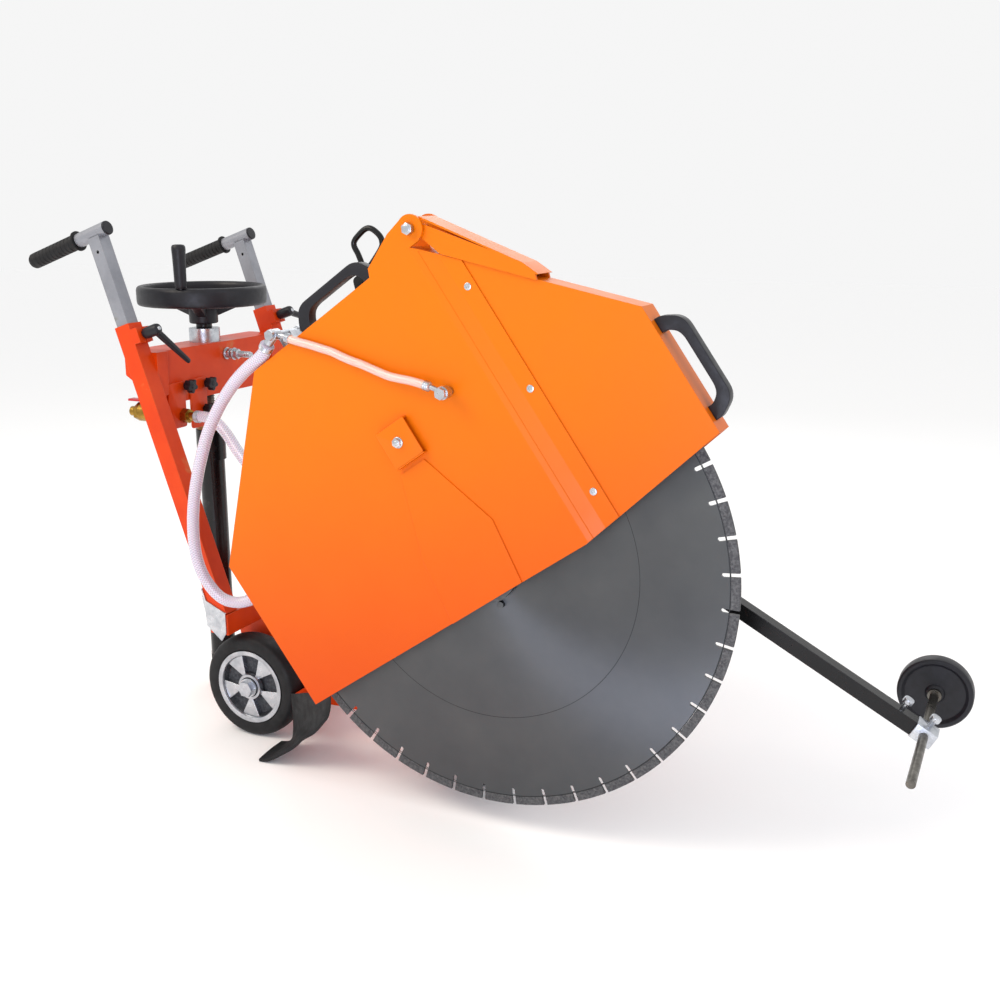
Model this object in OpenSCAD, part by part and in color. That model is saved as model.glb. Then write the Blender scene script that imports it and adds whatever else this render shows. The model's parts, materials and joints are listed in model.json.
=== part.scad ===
// Walk-behind electric concrete saw. X points forward, Y across, Z up, in millimetres.
// The undercarriage is drawn from the rear axle. The tilting saw frame is drawn level, from
// the centre of the blade, and on_frame() turns it up to the raised rest position.

/* [Blade] */
// Diameter of the blade over its segments
blade_d = 800; // [700:10:840]
// Thickness of the steel core
core_t = 4; // [3:0.5:5]
// Thickness of the diamond segments
seg_t = 5; // [4.5:0.5:6]
// Radial height of the diamond segments
seg_h = 14; // [8:1:16]
// Number of segments round the rim
seg_count = 45; // [30:1:60]
// Depth of the cooling slots between the segments
slot_depth = 27; // [20:1:34]
// Width of the cooling slots
slot_w = 6; // [4:0.5:9]
// Diameter of the clamping flanges
flange_d = 116; // [90:2:150]
// Diameter of the blade arbor
arbor_d = 35; // [25:1:45]

/* [Guard] */
// Distance from the blade shaft to the rear wall of the guard
guard_rear = 411; // [405:1:520]
// Height of the rear wall above the blade shaft
guard_rear_top = 224; // [180:1:260]
// Height of the flat top above the blade shaft
guard_top = 458; // [430:1:520]
// Rear end of the flat top, behind the blade shaft
top_rear = 158; // [100:1:200]
// Front end of the flat top, in front of the blade shaft
top_front = 190; // [150:1:210]
// Lower edge of the guard, below the blade shaft
guard_low = 52; // [30:1:60]
// Place where the rear shell and the hood meet, in front of the blade shaft
split_x = 222; // [215:1:240]
// Distance from the blade shaft to the front wall of the hood
nose_x = 440; // [430:1:520]
// Height of the front wall above the blade shaft
nose_top = 192; // [150:1:220]
// Lower edge of the front wall, below the blade shaft
nose_low = 10; // [0:1:30]
// Near side of the rear shell, from the blade plane
guard_near = 40; // [36:1:60]
// Far side of the rear shell, from the blade plane
guard_far = 23; // [22:1:24]
// Step of the hood behind the face of the rear shell
hood_step = 8; // [4:0.5:12]
// Sheet thickness of the guard
sheet_t = 2.5; // [2:0.5:3]
// Width of the screwed strip over the joint of the hood
strip_w = 27; // [20:1:34]

/* [Undercarriage] */
// Diameter of the rear wheels
rear_wheel_d = 200; // [180:5:220]
// Width of the rear wheels
rear_wheel_w = 45; // [36:1:50]
// Diameter of the front wheels
front_wheel_d = 150; // [120:5:160]
// Width of the front wheels
front_wheel_w = 40; // [30:1:45]
// Distance between the rear and front axles
wheelbase = 483; // [440:1:500]
// Middle of the machine, from the blade plane
mid_y = 308; // [300:1:330]
// Distance between the middles of the rear wheels
track = 352; // [340:1:380]
// Diameter of the rear axle
axle_d = 25; // [20:1:30]
// Height of the rail section
rail_h = 50; // [40:1:60]
// Width of the rail section
rail_w = 30; // [25:1:40]

/* [Saw frame] */
// Distance from the rear axle to the blade shaft with the frame level
frame_reach = 651.5; // [640:0.5:700]
// Height of the rear axle above the blade shaft with the frame level
frame_rise = 34; // [20:1:50]
// Angle of the raised saw frame
tilt = 35; // [20:1:36]
// Length of the lifting lever behind the axle
lever_r = 225; // [215:1:240]

/* [Handles] */
// Distance between the middles of the two handle posts
post_track = 416; // [400:1:440]
// Side of the square post tube
post_s = 34; // [32:1:40]
// Wall of the square post tube
post_wall = 3.2; // [2.5:0.1:4]
// Side of the square handle tube
tube_s = 27; // [22:0.2:27]
// Backward lean of the posts
lean = 19; // [10:1:25]
// Length of the posts
post_len = 556; // [520:1:600]
// Length of handle tube above the near post
handle_up = 166; // [120:1:200]
// How much further the far handle is pushed in
far_drop = 20; // [0:1:40]
// Diameter of the grips
grip_d = 29; // [26:1:34]
// Length of the grips
grip_len = 122; // [100:1:140]

/* [Lifting gear] */
// Diameter of the handwheel
handwheel_d = 250; // [200:2:280]
// Diameter of the lifting spindle
spindle_d = 24; // [20:1:26]
// Diameter of the lower lift tube
lift_tube_d = 50; // [44:1:52]
// Diameter of the upper end of the lift tube
lift_head_d = 58; // [54:1:60]

/* [Guide] */
// Length of the guide arm between its pivots
guide_len = 623; // [560:1:660]
// Fall of the guide arm below the horizontal when the saw is raised
guide_fall = 28.4; // [20:0.1:35]
// Diameter of the guide wheel
guide_wheel_d = 120; // [100:2:140]
// Side of the square guide arm
guide_bar = 24; // [20:1:30]
// Diameter of the guide rod
guide_rod_d = 14; // [12:1:16]
// Distance from the blade plane to the guide arm
guide_y = 180; // [160:1:200]

/* [Hidden] */

// Radial clearance of running fits, and the gap between neighbours that move
run = 0.05;
gap = 0.4;
// The origin, from the rear axle in the blade plane: the middle of the footprint
origin_x = 409.5;
origin_y = 266.075;

// Colours
orange = "darkorange";
zinc = "silver";
black = "#26262a";
steel = "lightsteelblue";

// ---- placing ----
module place() translate([-origin_x, -origin_y, rear_wheel_d / 2]) children();
module on_frame() place() rotate([0, -tilt, 0]) translate([frame_reach, 0, -frame_rise]) children();

// Round bars and tubes along each axis, and a plate drawn in the XZ plane
module bar_x(r, x0, x1, y, z) translate([x0, y, z]) rotate([0, 90, 0])
    cylinder(r = r, h = x1 - x0, $fn = 48);
module bar_y(r, x, y0, y1, z) translate([x, y0, z]) rotate([-90, 0, 0])
    cylinder(r = r, h = y1 - y0, $fn = 48);
module bar_z(r, x, y, z0, z1) translate([x, y, z0]) cylinder(r = r, h = z1 - z0, $fn = 48);
module plate_y(points, y0, y1) translate([0, y1, 0]) rotate([90, 0, 0])
    linear_extrude(y1 - y0) polygon(points);
module block(x0, x1, y0, y1, z0, z1) translate([x0, y0, z0]) cube([x1 - x0, y1 - y0, z1 - z0]);
module hex_y(af, x, y0, y1, z) translate([x, y0, z]) rotate([-90, 0, 0])
    cylinder(d = af / cos(30), h = y1 - y0, $fn = 6);
module hex_x(af, x0, x1, y, z) translate([x0, y, z]) rotate([0, 90, 0])
    cylinder(d = af / cos(30), h = x1 - x0, $fn = 6);
// Box section tube along X
module box_tube(x0, x1, y0, y1, z0, z1, wall) difference() {
    block(x0, x1, y0, y1, z0, z1);
    block(x0 - 1, x1 + 1, y0 + wall, y1 - wall, z0 + wall, z1 - wall);
}
// The same outline moved inwards by t; the points run anticlockwise
function unit(v) = v / norm(v);
function inward(p, q) = let (d = unit(q - p)) [-d[1], d[0]];
function inset(pts, t) = [for (i = [0 : len(pts) - 1])
    let (n = len(pts), a = inward(pts[(i + n - 1) % n], pts[i]), b = inward(pts[i], pts[(i + 1) % n]))
    pts[i] + t * (a + b) / (1 + a * b)];

// ---- undercarriage ----
ground = -rear_wheel_d / 2;
rear_near_y = mid_y - track / 2;
rear_far_y = mid_y + track / 2;
rail_y = mid_y - rear_near_y - rear_wheel_w / 2 - rail_w - 10;
front_axle_z = ground + front_wheel_d / 2;
front_axle_d = 20;
foot_x = -40;
foot_z = 110;
cross_s = 40;
post_near_y = mid_y - post_track / 2;
post_far_y = mid_y + post_track / 2;
// Middle line of the posts at the height z
function post_x(z) = -221 + (post_top - z) * tan(lean);
post_top = foot_z + cross_s + post_len * cos(lean);

// Both rails, mirrored about the middle of the machine
module both_sides() {
    children();
    translate([0, 2 * mid_y, 0]) mirror([0, 1, 0]) children();
}
module chassis() color(orange) place() difference() {
    union() {
        both_sides() {
            // side rail, its upright to the foot of the post, and the front drop plate
            box_tube(-45, wheelbase + 30, mid_y - rail_y - rail_w, mid_y - rail_y, -30, -30 + rail_h, 3);
            plate_y([[-45, -30], [45, -30], [45, 20], [5, foot_z], [foot_x - 40, foot_z], [-60, 20]],
                mid_y - rail_y - 8, mid_y - rail_y);
            block(wheelbase - 30, wheelbase + 30, mid_y - rail_y - rail_w - 6, mid_y - rail_y - rail_w,
                front_axle_z - 37, -30 + rail_h);
        }
        // stub that carries the rubber flap in front of the near wheel
        bar_y(8.5, flap_x, flap_far_y, mid_y - rail_y - rail_w, flap_z);
        // cross tube under the posts and the flat bar between the front drop plates
        block(foot_x - cross_s / 2, foot_x + cross_s / 2, post_near_y - post_s / 2, post_far_y + post_s / 2,
            foot_z, foot_z + cross_s);
        block(wheelbase - 30, wheelbase + 30, mid_y - rail_y - rail_w, mid_y + rail_y + rail_w,
            front_axle_z - 37, front_axle_z - 25);
    }
    bar_y(axle_d / 2 + run, 0, 0, 2 * mid_y, 0);
    both_sides() bar_y(front_axle_d / 2 + run, wheelbase, mid_y - rail_y - rail_w - 20, mid_y - rail_y + 20,
        front_axle_z);
}
// One end of an axle: washer and hexagon nut outside the wheel, on the near side
module axle_end(x, y, z, d) {
    bar_y(d, x, y - 3, y, z);
    hex_y(d * 1.5, x, y - 3 - d * 0.6, y - 3, z);
}
module axles() color(zinc) place() {
    bar_y(axle_d / 2, 0, rear_near_y - rear_wheel_w / 2 - gap - 3,
        rear_far_y + rear_wheel_w / 2 + gap + 3, 0);
    both_sides() {
        axle_end(0, rear_near_y - rear_wheel_w / 2 - gap, 0, 18);
        bar_y(front_axle_d / 2, wheelbase, rear_near_y - front_wheel_w / 2 - gap - 1, mid_y - rail_y,
            front_axle_z);
        axle_end(wheelbase, rear_near_y - front_wheel_w / 2 - gap, front_axle_z, 15);
    }
}
rim_d = rear_wheel_d * 0.72;
module ring_y(pts, x, y, z) translate([x, y, z]) rotate([-90, 0, 0]) rotate_extrude($fn = 96) polygon(pts);
module rear_tyre(y) color(black) place() {
    w = rear_wheel_w / 2;
    r = rear_wheel_d / 2;
    ring_y([[rim_d / 2, -w + 3], [rim_d / 2 + 6, -w], [r - 8, -w], [r - 2, -w + 7], [r, -w + 13],
        [r, w - 13], [r - 2, w - 7], [r - 8, w], [rim_d / 2 + 6, w], [rim_d / 2, w - 3]], 0, y, 0);
}
module rear_rim(y) color(zinc) place() {
    w = rear_wheel_w / 2;
    ring_y([[axle_d / 2 + run, -w], [22, -w], [24, -w + 6], [rim_d / 2 - 12, -w + 15],
        [rim_d / 2 - 4, -w + 1], [rim_d / 2 - gap, -w + 1], [rim_d / 2 - gap, w - 1], [rim_d / 2 - 4, w - 1],
        [rim_d / 2 - 12, w - 15], [24, w - 6], [22, w], [axle_d / 2 + run, w]], 0, y, 0);
}
module front_wheel(y) place() {
    w = front_wheel_w / 2;
    r = front_wheel_d / 2;
    color(black) ring_y([[r - 18, -w], [r - 5, -w], [r, -w + 8], [r, w - 8], [r - 5, w], [r - 18, w]],
        wheelbase, y, front_axle_z);
    color(zinc) ring_y([[front_axle_d / 2 + run, -w], [18, -w], [20, -w + 14], [r - 24, -w + 14],
        [r - 18 - gap, -w + 2], [r - 18 - gap, w - 2], [r - 24, w - 14], [20, w - 14], [18, w],
        [front_axle_d / 2 + run, w]],
        wheelbase, y, front_axle_z);
}
// Zinc angle plates bolted behind and outside the feet of the posts
bracket_t = 3;
module wheel_brackets() color(zinc) place() both_sides() {
    outside = post_near_y - post_s / 2;
    behind = post_x(foot_z + cross_s) - post_s / 2 / cos(lean);
    translate([behind, 0, foot_z + cross_s]) rotate([0, -lean, 0]) {
        block(-bracket_t, 0, outside - bracket_t, post_near_y + 4, 3, 48);
        bar_x(11, -bracket_t - 1.5, -bracket_t, post_near_y - 6, 28);
        hex_x(17, -bracket_t - 8, -bracket_t - 1.5, post_near_y - 6, 28);
    }
    plate_y([[foot_x + 6, foot_z - 12], [foot_x + 17, foot_z + 4], [foot_x + 17, foot_z + cross_s + 4],
        [foot_x - 34, foot_z + cross_s + 26], [foot_x - 28, foot_z + cross_s], [foot_x - 26, foot_z + 14]],
        outside - bracket_t, outside);
}

// ---- handle posts and handles ----
module along_post(y, s) translate([post_x(post_top), y, post_top]) rotate([0, -lean, 0])
    translate([0, 0, s]) children();
module square_tube(side, wall, length) difference() {
    translate([-side / 2, -side / 2, -length]) cube([side, side, length]);
    translate([-side / 2 + wall, -side / 2 + wall, -length - 1])
        cube([side - 2 * wall, side - 2 * wall, length + 2]);
}
// Distance of the clamp screw below the mouth of the post
clamp_s = 26;
module handle_post(y) color(orange) place() difference() {
    union() {
        along_post(y, 0) square_tube(post_s, post_wall, post_len + 4);
        // split clamp block at the mouth of the post
        along_post(y, 0) difference() {
            translate([post_s / 2, -post_s / 2, -clamp_s - 14]) cube([14, post_s, 28]);
            translate([post_s / 2 - 1, -1.5, -clamp_s - 15]) cube([16, 3, 30]);
            bar_x(5.3, post_s / 2 - 1, post_s / 2 + 20, 0, -clamp_s);
        }
    }
    translate([-300, y - 50, foot_z + cross_s - 40]) cube([600, 100, 40]);
}
handle_in = 150;
module handle_tube(y, up) color(zinc) place() along_post(y, up) difference() {
    union() {
        square_tube(tube_s, 2.5, up + handle_in);
        bar_x(13, -45, 26, 0, 8);
        bar_x(10, -45 - grip_len, -45, 0, 8);
    }
    translate([-tube_s / 2 + 2.5, -tube_s / 2 + 2.5, -up - handle_in - 1])
        cube([tube_s - 5, tube_s - 5, up + handle_in - 10]);
    bar_y(3, 0, -tube_s, tube_s, -28);
}
module handle_grip(y, up) color(black) place() along_post(y, up) {
    // rubber grip with its inner flange, and the cap on the other end of the bar
    translate([-45 - gap, 0, 8]) rotate([0, -90, 0]) rotate_extrude($fn = 64)
        polygon([[10 + gap, 0], [grip_d / 2 + 4, 0], [grip_d / 2 + 4, 5], [grip_d / 2, 6],
            [grip_d / 2, grip_len - 6], [grip_d / 2 - 4, grip_len + 3], [0, grip_len + 3],
            [0, grip_len - gap], [10 + gap, grip_len - gap]]);
    bar_x(12, 26 + gap / 4, 30, 0, 8);
}
// Clamp lever: its screw in the clamp block, the hub, and a tapered arm hanging towards the middle
lever_x = post_s / 2 + 15;
lever_len = 92;
lever_hub = 36;
near_lever_a = 43;
far_lever_a = 72;
module clamp_lever(y, a) color(black) place() along_post(y, -clamp_s) {
    color(zinc) bar_x(5, post_s / 2 + 1, lever_x + 1, 0, 0);
    translate([lever_x, 0, 0]) rotate([0, 90, 0]) rotate_extrude($fn = 48)
        polygon([[0, 0], [8, 0], [10.5, 8], [10.5, lever_hub - 6], [8, lever_hub], [0, lever_hub]]);
    translate([lever_x + lever_hub - 11, 0, 0]) rotate([a, 0, 0]) translate([0, 0, -lever_len]) hull() {
        cube([7, 11, 2], center = true);
        translate([0, 0, lever_len - 8]) cube([11, 14, 2], center = true);
    }
}

// ---- crossbeam and what it carries ----
beam_front = -180;
beam_w = 70;
beam_top = 625.5;
beam_h = 101;
beam_rear_h = 46;
beam_t = 4;
beam_y0 = post_near_y + post_s / 2;
beam_y1 = post_far_y - post_s / 2;
spindle_x = beam_front - beam_w / 2;
stop_y = mid_y + 20;
stop_z = beam_top - 24.5;
tab_y = [post_near_y + 62, post_near_y + 125];
tab_w = 58;
knobs = [[post_near_y + 95, 554], [post_near_y + 156, 551], [post_near_y + 148, 501]];
module crossbeam() color(orange) place() difference() {
    union() {
        block(beam_front - beam_t, beam_front, beam_y0, beam_y1, beam_top - beam_h, beam_top);
        block(beam_front - beam_w, beam_front, beam_y0, beam_y1, beam_top - beam_t, beam_top);
        block(beam_front - beam_w, beam_front - beam_w + beam_t, beam_y0, beam_y1,
            beam_top - beam_rear_h, beam_top);
        both_sides() {
            // end cheek against the post, and the tapered gusset on the front face
            plate_y([[beam_front - beam_w, beam_top], [beam_front - beam_w, beam_top - beam_rear_h],
                [beam_front - beam_w + 22, beam_top - beam_rear_h - 14], [beam_front, beam_top - beam_h],
                [beam_front, beam_top]], beam_y0, beam_y0 + 6);
            translate([beam_front, beam_y0, beam_top]) rotate([0, 90, 0])
                linear_extrude(7) polygon([[0, 0], [0, 30], [80, 26], [88, 0]]);
        }
    }
    bar_z(spindle_d / 2 + 4, spindle_x, mid_y, beam_top - 20, beam_top + 1);
    bar_x(6.1, beam_front - 20, beam_front + 1, stop_y, stop_z);
    for (k = [knobs[0], knobs[1]]) bar_x(4 + run, beam_front - 20, beam_front + 1, k[0], k[1]);
}
module spindle_bearing() color(zinc) place() difference() {
    bar_z(30, spindle_x, mid_y, beam_top, beam_top + 27);
    bar_z(spindle_d / 2 + run, spindle_x, mid_y, beam_top - 1, beam_top + 28);
}
// Two plates held on the front face by star knobs, and the stop bolt with its nuts
module beam_fittings() color(orange) place() {
    difference() {
        union() {
            block(beam_front, beam_front + 4, tab_y[0], tab_y[0] + tab_w, 476, 563);
            block(beam_front, beam_front + 4, tab_y[1], tab_y[1] + tab_w, 468, 564);
        }
        for (k = knobs) bar_x(4 + run, beam_front - 1, beam_front + 6, k[0], k[1]);
        bar_x(14.3, beam_front - 1, beam_front + 6, valve_y, valve_z);
    }
    color(zinc) {
        bar_x(6, beam_front - 14, beam_front + 62, stop_y, stop_z);
        for (x = [beam_front, beam_front + 18]) {
            bar_x(12, x + 0.2, x + 3, stop_y, stop_z);
            hex_x(18, x + 3, x + 13, stop_y, stop_z);
        }
    }
}
// Star knob with five lobes and its screw
module star_knob(k) color(black) place() translate([beam_front + 4.3, k[0], k[1]]) rotate([0, 90, 0]) {
    cylinder(d = 16, h = 8, $fn = 32);
    translate([0, 0, 6]) cylinder(d = 21, h = 12, $fn = 32);
    for (a = [0 : 72 : 359]) rotate(a) translate([10, 0, 6]) cylinder(d = 8, h = 12, $fn = 24);
    translate([0, 0, -14]) cylinder(d = 8, h = 15, $fn = 24);
}
valve_y = post_near_y + 84;
valve_z = 498;
valve_x = beam_front - 84;
valve_r = 18;
tail_len = 16;
module ball_valve() color("goldenrod") place() {
    // elbow nut in front of the plate, pipe under the beam, then the valve body and its inlet tail
    hex_x(24, beam_front + 4, beam_front + 18, valve_y, valve_z);
    bar_x(8, beam_front + 18, beam_front + 32, valve_y, valve_z);
    bar_x(9, valve_x + 22, beam_front + 4, valve_y, valve_z);
    hex_x(32, valve_x + 12, valve_x + 22, valve_y, valve_z);
    difference() {
        bar_x(valve_r, valve_x - 12, valve_x + 12, valve_y, valve_z);
        bar_z(4 + run, valve_x, valve_y, valve_z + 4, valve_z + 30);
    }
    hex_x(32, valve_x - 22, valve_x - 12, valve_y, valve_z);
    difference() {
        bar_x(9.5, valve_x - 22 - tail_len, valve_x - 22, valve_y, valve_z);
        bar_x(6.5, valve_x - 23 - tail_len, valve_x - 24, valve_y, valve_z);
    }
}
module valve_lever() color("red") place() {
    bar_z(4, valve_x, valve_y, valve_z + 5, valve_z + 24);
    block(valve_x - 40, valve_x + 10, valve_y - 8, valve_y + 8, valve_z + 21, valve_z + 25);
}

// ---- handwheel, spindle and lift tube ----
rim_z = beam_top + 92;
hub_z = beam_top + 36;
rim_h = 38;
module handwheel() color(black) place() difference() {
    translate([spindle_x, mid_y, 0]) union() {
        // dished wheel: hub, three spokes and a deep rim
        translate([0, 0, rim_z - rim_h / 2]) rotate_extrude($fn = 96) translate([handwheel_d / 2, 0])
            polygon([[-15, 4], [-12, 0], [-3, 0], [0, 5], [0, rim_h - 5], [-3, rim_h], [-10, rim_h],
                [-14, rim_h - 4]]);
        translate([0, 0, hub_z]) cylinder(d = 56, h = 34, $fn = 48);
        for (a = [60, 180, 300]) rotate(a) rotate([90, 0, 0]) translate([0, 0, -12]) linear_extrude(24)
            polygon([[12, hub_z + 14], [24, hub_z + 14], [handwheel_d / 2 - 10, rim_z - 10],
                [handwheel_d / 2 - 10, rim_z], [24, hub_z + 32], [12, hub_z + 32]]);
    }
    bar_z(9, spindle_x, mid_y, hub_z - 1, hub_z + 40);
    translate([spindle_x, mid_y, 0]) knob_place() bar_z(5 + run, 0, 0, rim_z - 30, rim_z + 40);
}
// The crank knob stands on the rim, towards the operator's near side
knob_a = 290;
knob_r = handwheel_d / 2 - 7.5;
module knob_place() rotate(knob_a) translate([knob_r, 0, 0]) children();
module handwheel_knob() color(black) place() translate([spindle_x, mid_y, 0]) knob_place() {
    translate([0, 0, rim_z + rim_h / 2 + gap]) rotate_extrude($fn = 48)
        polygon([[0, 0], [10, 0], [11.5, 7], [12, 58], [13.3, 74], [11.5, 81], [0, 81]]);
    bar_z(5, 0, 0, rim_z - 14, rim_z + rim_h / 2 + 1);
}
tube_top = 449;
tube_mid = 387;
pin_r = 8;
pin_x = -lever_r * cos(tilt / 2);
pin_z = -lever_r * sin(tilt / 2);
module spindle() color(steel) place() {
    bar_z(8.9, spindle_x, mid_y, hub_z - 2, hub_z + 34);
    bar_z(spindle_d / 2, spindle_x, mid_y, 300, hub_z - 2);
}
module lift_tube() color(black) place() difference() {
    union() {
        bar_z(lift_tube_d / 2, spindle_x, mid_y, pin_z + 34, tube_mid);
        bar_z(lift_head_d / 2, spindle_x, mid_y, tube_mid, tube_top);
        // forged eye at the foot
        block(-lever_r - 14, spindle_x + 22, mid_y - 11, mid_y + 11, pin_z - 17, pin_z + 36);
    }
    bar_z(lift_tube_d / 2 - 5, spindle_x, mid_y, pin_z + 44, tube_top + 1);
    // slot for the lift pin, as long as the pin wanders
    for (x = [pin_x, -lever_r]) bar_y(pin_r + 0.8, x, mid_y - 20, mid_y + 20, pin_z);
    block(-lever_r, pin_x, mid_y - 20, mid_y + 20, pin_z - pin_r - 0.8, pin_z + pin_r + 0.8);
}
module spindle_nut() color("peru") place() difference() {
    union() {
        bar_z(27, spindle_x, mid_y, tube_top, tube_top + 9);
        bar_z(lift_tube_d / 2 - 5.2, spindle_x, mid_y, tube_top - 40, tube_top);
        for (a = [20 : 60 : 359]) translate([spindle_x, mid_y, tube_top + 9]) rotate(a)
            translate([20.5, 0, 0])
            cylinder(d = 9, h = 7, $fn = 24);
    }
    bar_z(spindle_d / 2 + run, spindle_x, mid_y, tube_top - 50, tube_top + 20);
}

// ---- saw frame ----
tube_y = 90;
tube_w = 30;
tube_z = frame_rise - 29;
tube_h = 60;
plate_y0 = 86;
plate_t = 8;
housing_r = 38;
hinge_x = 119.5;
hinge_z = -3.7;
motor_x = -230;
motor_z = 238;
motor_r = 110;
motor_foot = 96;
lever_x1 = -frame_reach - lever_r * cos(tilt / 2);
lever_z1 = frame_rise + lever_r * sin(tilt / 2);
eye_x = 64;
module saw_frame() color(orange) on_frame() {
    difference() {
        union() {
            both_sides() {
                box_tube(-frame_reach - 24, 40, mid_y - tube_y - tube_w / 2, mid_y - tube_y + tube_w / 2,
                    tube_z, tube_z + tube_h, 4);
                bar_y(21, -frame_reach, mid_y - tube_y - tube_w / 2 - 3,
                    mid_y - tube_y + tube_w / 2 + 3, frame_rise);
                // upright carrying the motor plate
                block(-380, -120, mid_y - tube_y - tube_w / 2, mid_y - tube_y - tube_w / 2 + 8,
                    tube_z + tube_h, motor_foot - 10);
                // lever plate behind the axle
                bar_y(20, lever_x1, mid_y + 12, mid_y + 20, lever_z1);
                plate_y([[-frame_reach + 60, tube_z], [-frame_reach + 60, tube_z + 50],
                    [-frame_reach + 5, tube_z + 58], [lever_x1 - 6, lever_z1 + 19],
                    [lever_x1 + 6, lever_z1 - 19], [-frame_reach - 5, tube_z]],
                    mid_y + 12, mid_y + 20);
            }
            // cross tube in front of the axle, shaft housing, motor plate and near side plate
            block(-frame_reach + 36, -frame_reach + 66, mid_y - tube_y, mid_y + tube_y, tube_z, tube_z + 50);
            bar_y(housing_r, 0, plate_y0, mid_y + tube_y + tube_w / 2, 0);
            block(-385, -110, plate_y0, mid_y + tube_y + tube_w / 2, motor_foot - 10, motor_foot);
            plate_y([[-20, -38], [50, -38], [118, 20], [100, 345], [-60, 372], [-150, 372], [-385, 170],
                [-385, motor_foot - 10], [-120, motor_foot - 10], [-60, 0]], plate_y0, plate_y0 + plate_t);
            // guide arm ears on the shaft housing
            for (s = [-1, 1]) plate_y([[0, -30], [hinge_x, hinge_z - 18], [hinge_x + 16, hinge_z],
                [hinge_x, hinge_z + 18],
                [0, 30]], guide_y + s * (guide_bar / 2 + 4) - 3, guide_y + s * (guide_bar / 2 + 4) + 3);
            // spacers to the far side of the guard and to the lifting bar
            for (p = [[-350, 140], [100, 60], [-75, 340]]) bar_y(9, p[0], guard_far, plate_y0, p[1]);
            for (z = [225, 320]) bar_y(9, eye_x - 8, guard_far + 10, plate_y0, z);
        }
        bar_y(axle_d / 2 + run, -frame_reach, 0, 2 * mid_y, frame_rise);
        bar_y(30, 0, plate_y0 - 1, mid_y + tube_y, 0);
        bar_y(42, motor_x, plate_y0 - 1, plate_y0 + plate_t + 1, motor_z);
    }
    // lift pin and guide arm pivot pin
    bar_y(pin_r, lever_x1, mid_y - 24, mid_y + 24, lever_z1);
    bar_y(6, hinge_x, guide_y - guide_bar / 2 - 12, guide_y + guide_bar / 2 + 12, hinge_z);
}
module bearing_blocks() color(zinc) on_frame() {
    for (y = [plate_y0, mid_y - tube_y - 15]) difference() {
        bar_y(30, 0, y, y + 20, 0);
        bar_y(arbor_d / 2 + run, 0, y - 1, y + 21, 0);
    }
}
// Lifting bar behind the guard with its bent round loop, upright while the saw is raised
loop_r = 24;
loop_reach = 49;
module lifting_eye() color(black) on_frame() {
    half = asin(loop_r / loop_reach);
    block(eye_x - 24, eye_x + 8, guard_far + gap, guard_far + 10, 200, 492);
    translate([eye_x + 2, guard_far + 5, 488]) rotate([0, 51.5, 0]) {
        for (s = [-1, 1]) rotate([0, s * half, 0])
            cylinder(r = 4, h = loop_reach * cos(half) + 0.5, $fn = 24);
        translate([0, 0, loop_reach]) rotate([90, 0, 0]) rotate(-half)
            rotate_extrude(angle = 180 + 2 * half, $fn = 48) translate([loop_r, 0]) circle(r = 4, $fn = 24);
    }
}

// ---- motor and belt drive ----
motor_y0 = 100;
motor_y1 = 330;
cowl_y1 = 400;
motor_shaft_d = 38;
pulley_y = [30, 78];
belt_y = [34, 49, 64];
belt_w = 11;
blade_pulley_r = 64;
motor_pulley_r = 54;
groove = 9;
module motor_housing() color("dimgray") on_frame() difference() {
    union() {
        translate([motor_x, motor_y1, motor_z]) rotate([90, 0, 0]) linear_extrude(motor_y1 - motor_y0 - 12) {
            circle(r = motor_r - 14, $fn = 72);
            for (a = [0 : 12 : 359]) rotate(a) translate([motor_r - 18, -1.5]) square([18, 3]);
        }
        bar_y(motor_r - 4, motor_x, motor_y0, motor_y0 + 14, motor_z);
        bar_y(motor_r, motor_x, motor_y1 - 8, cowl_y1, motor_z);
        for (y = [motor_y0 + 24, motor_y1 - 62])
            block(motor_x - 105, motor_x + 105, y, y + 40, motor_foot, motor_z - 80);
        block(motor_x + 15, motor_x + 105, 180, 270, motor_z + 40, motor_z + 132);
    }
    bar_y(82, motor_x, motor_y0 + 12, motor_y1 - 6, motor_z);
    bar_y(motor_r - 3, motor_x, motor_y1 + 4, cowl_y1 - 3, motor_z);
    bar_y(motor_shaft_d / 2 + run, motor_x, motor_y0 - 1, motor_y1 + 5, motor_z);
    for (a = [0 : 30 : 359]) translate([motor_x, cowl_y1, motor_z]) rotate([90, 0, 0]) rotate(a)
        translate([30, -6, -1]) cube([60, 12, 6]);
}
module motor_shaft() color(steel) on_frame() {
    bar_y(motor_shaft_d / 2, motor_x, pulley_y[0], motor_y1 + 40, motor_z);
    bar_y(80, motor_x, motor_y0 + 40, motor_y1 - 40, motor_z);
    bar_y(92, motor_x, motor_y1 + 18, motor_y1 + 26, motor_z);
}
module pulley(r, bore, x, z) difference() {
    bar_y(r, x, pulley_y[0], pulley_y[1], z);
    bar_y(bore, x, pulley_y[0] - 1, pulley_y[1] + 1, z);
    for (y = belt_y) difference() {
        bar_y(r + 1, x, y, y + belt_w + 1, z);
        bar_y(r - groove, x, y - 1, y + belt_w + 2, z);
    }
}
module motor_pulley() color("dimgray") on_frame()
    pulley(motor_pulley_r, motor_shaft_d / 2 + 0.02, motor_x, motor_z);
module blade_pulley() color("dimgray") on_frame() pulley(blade_pulley_r, arbor_d / 2 + 0.02, 0, 0);
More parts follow.
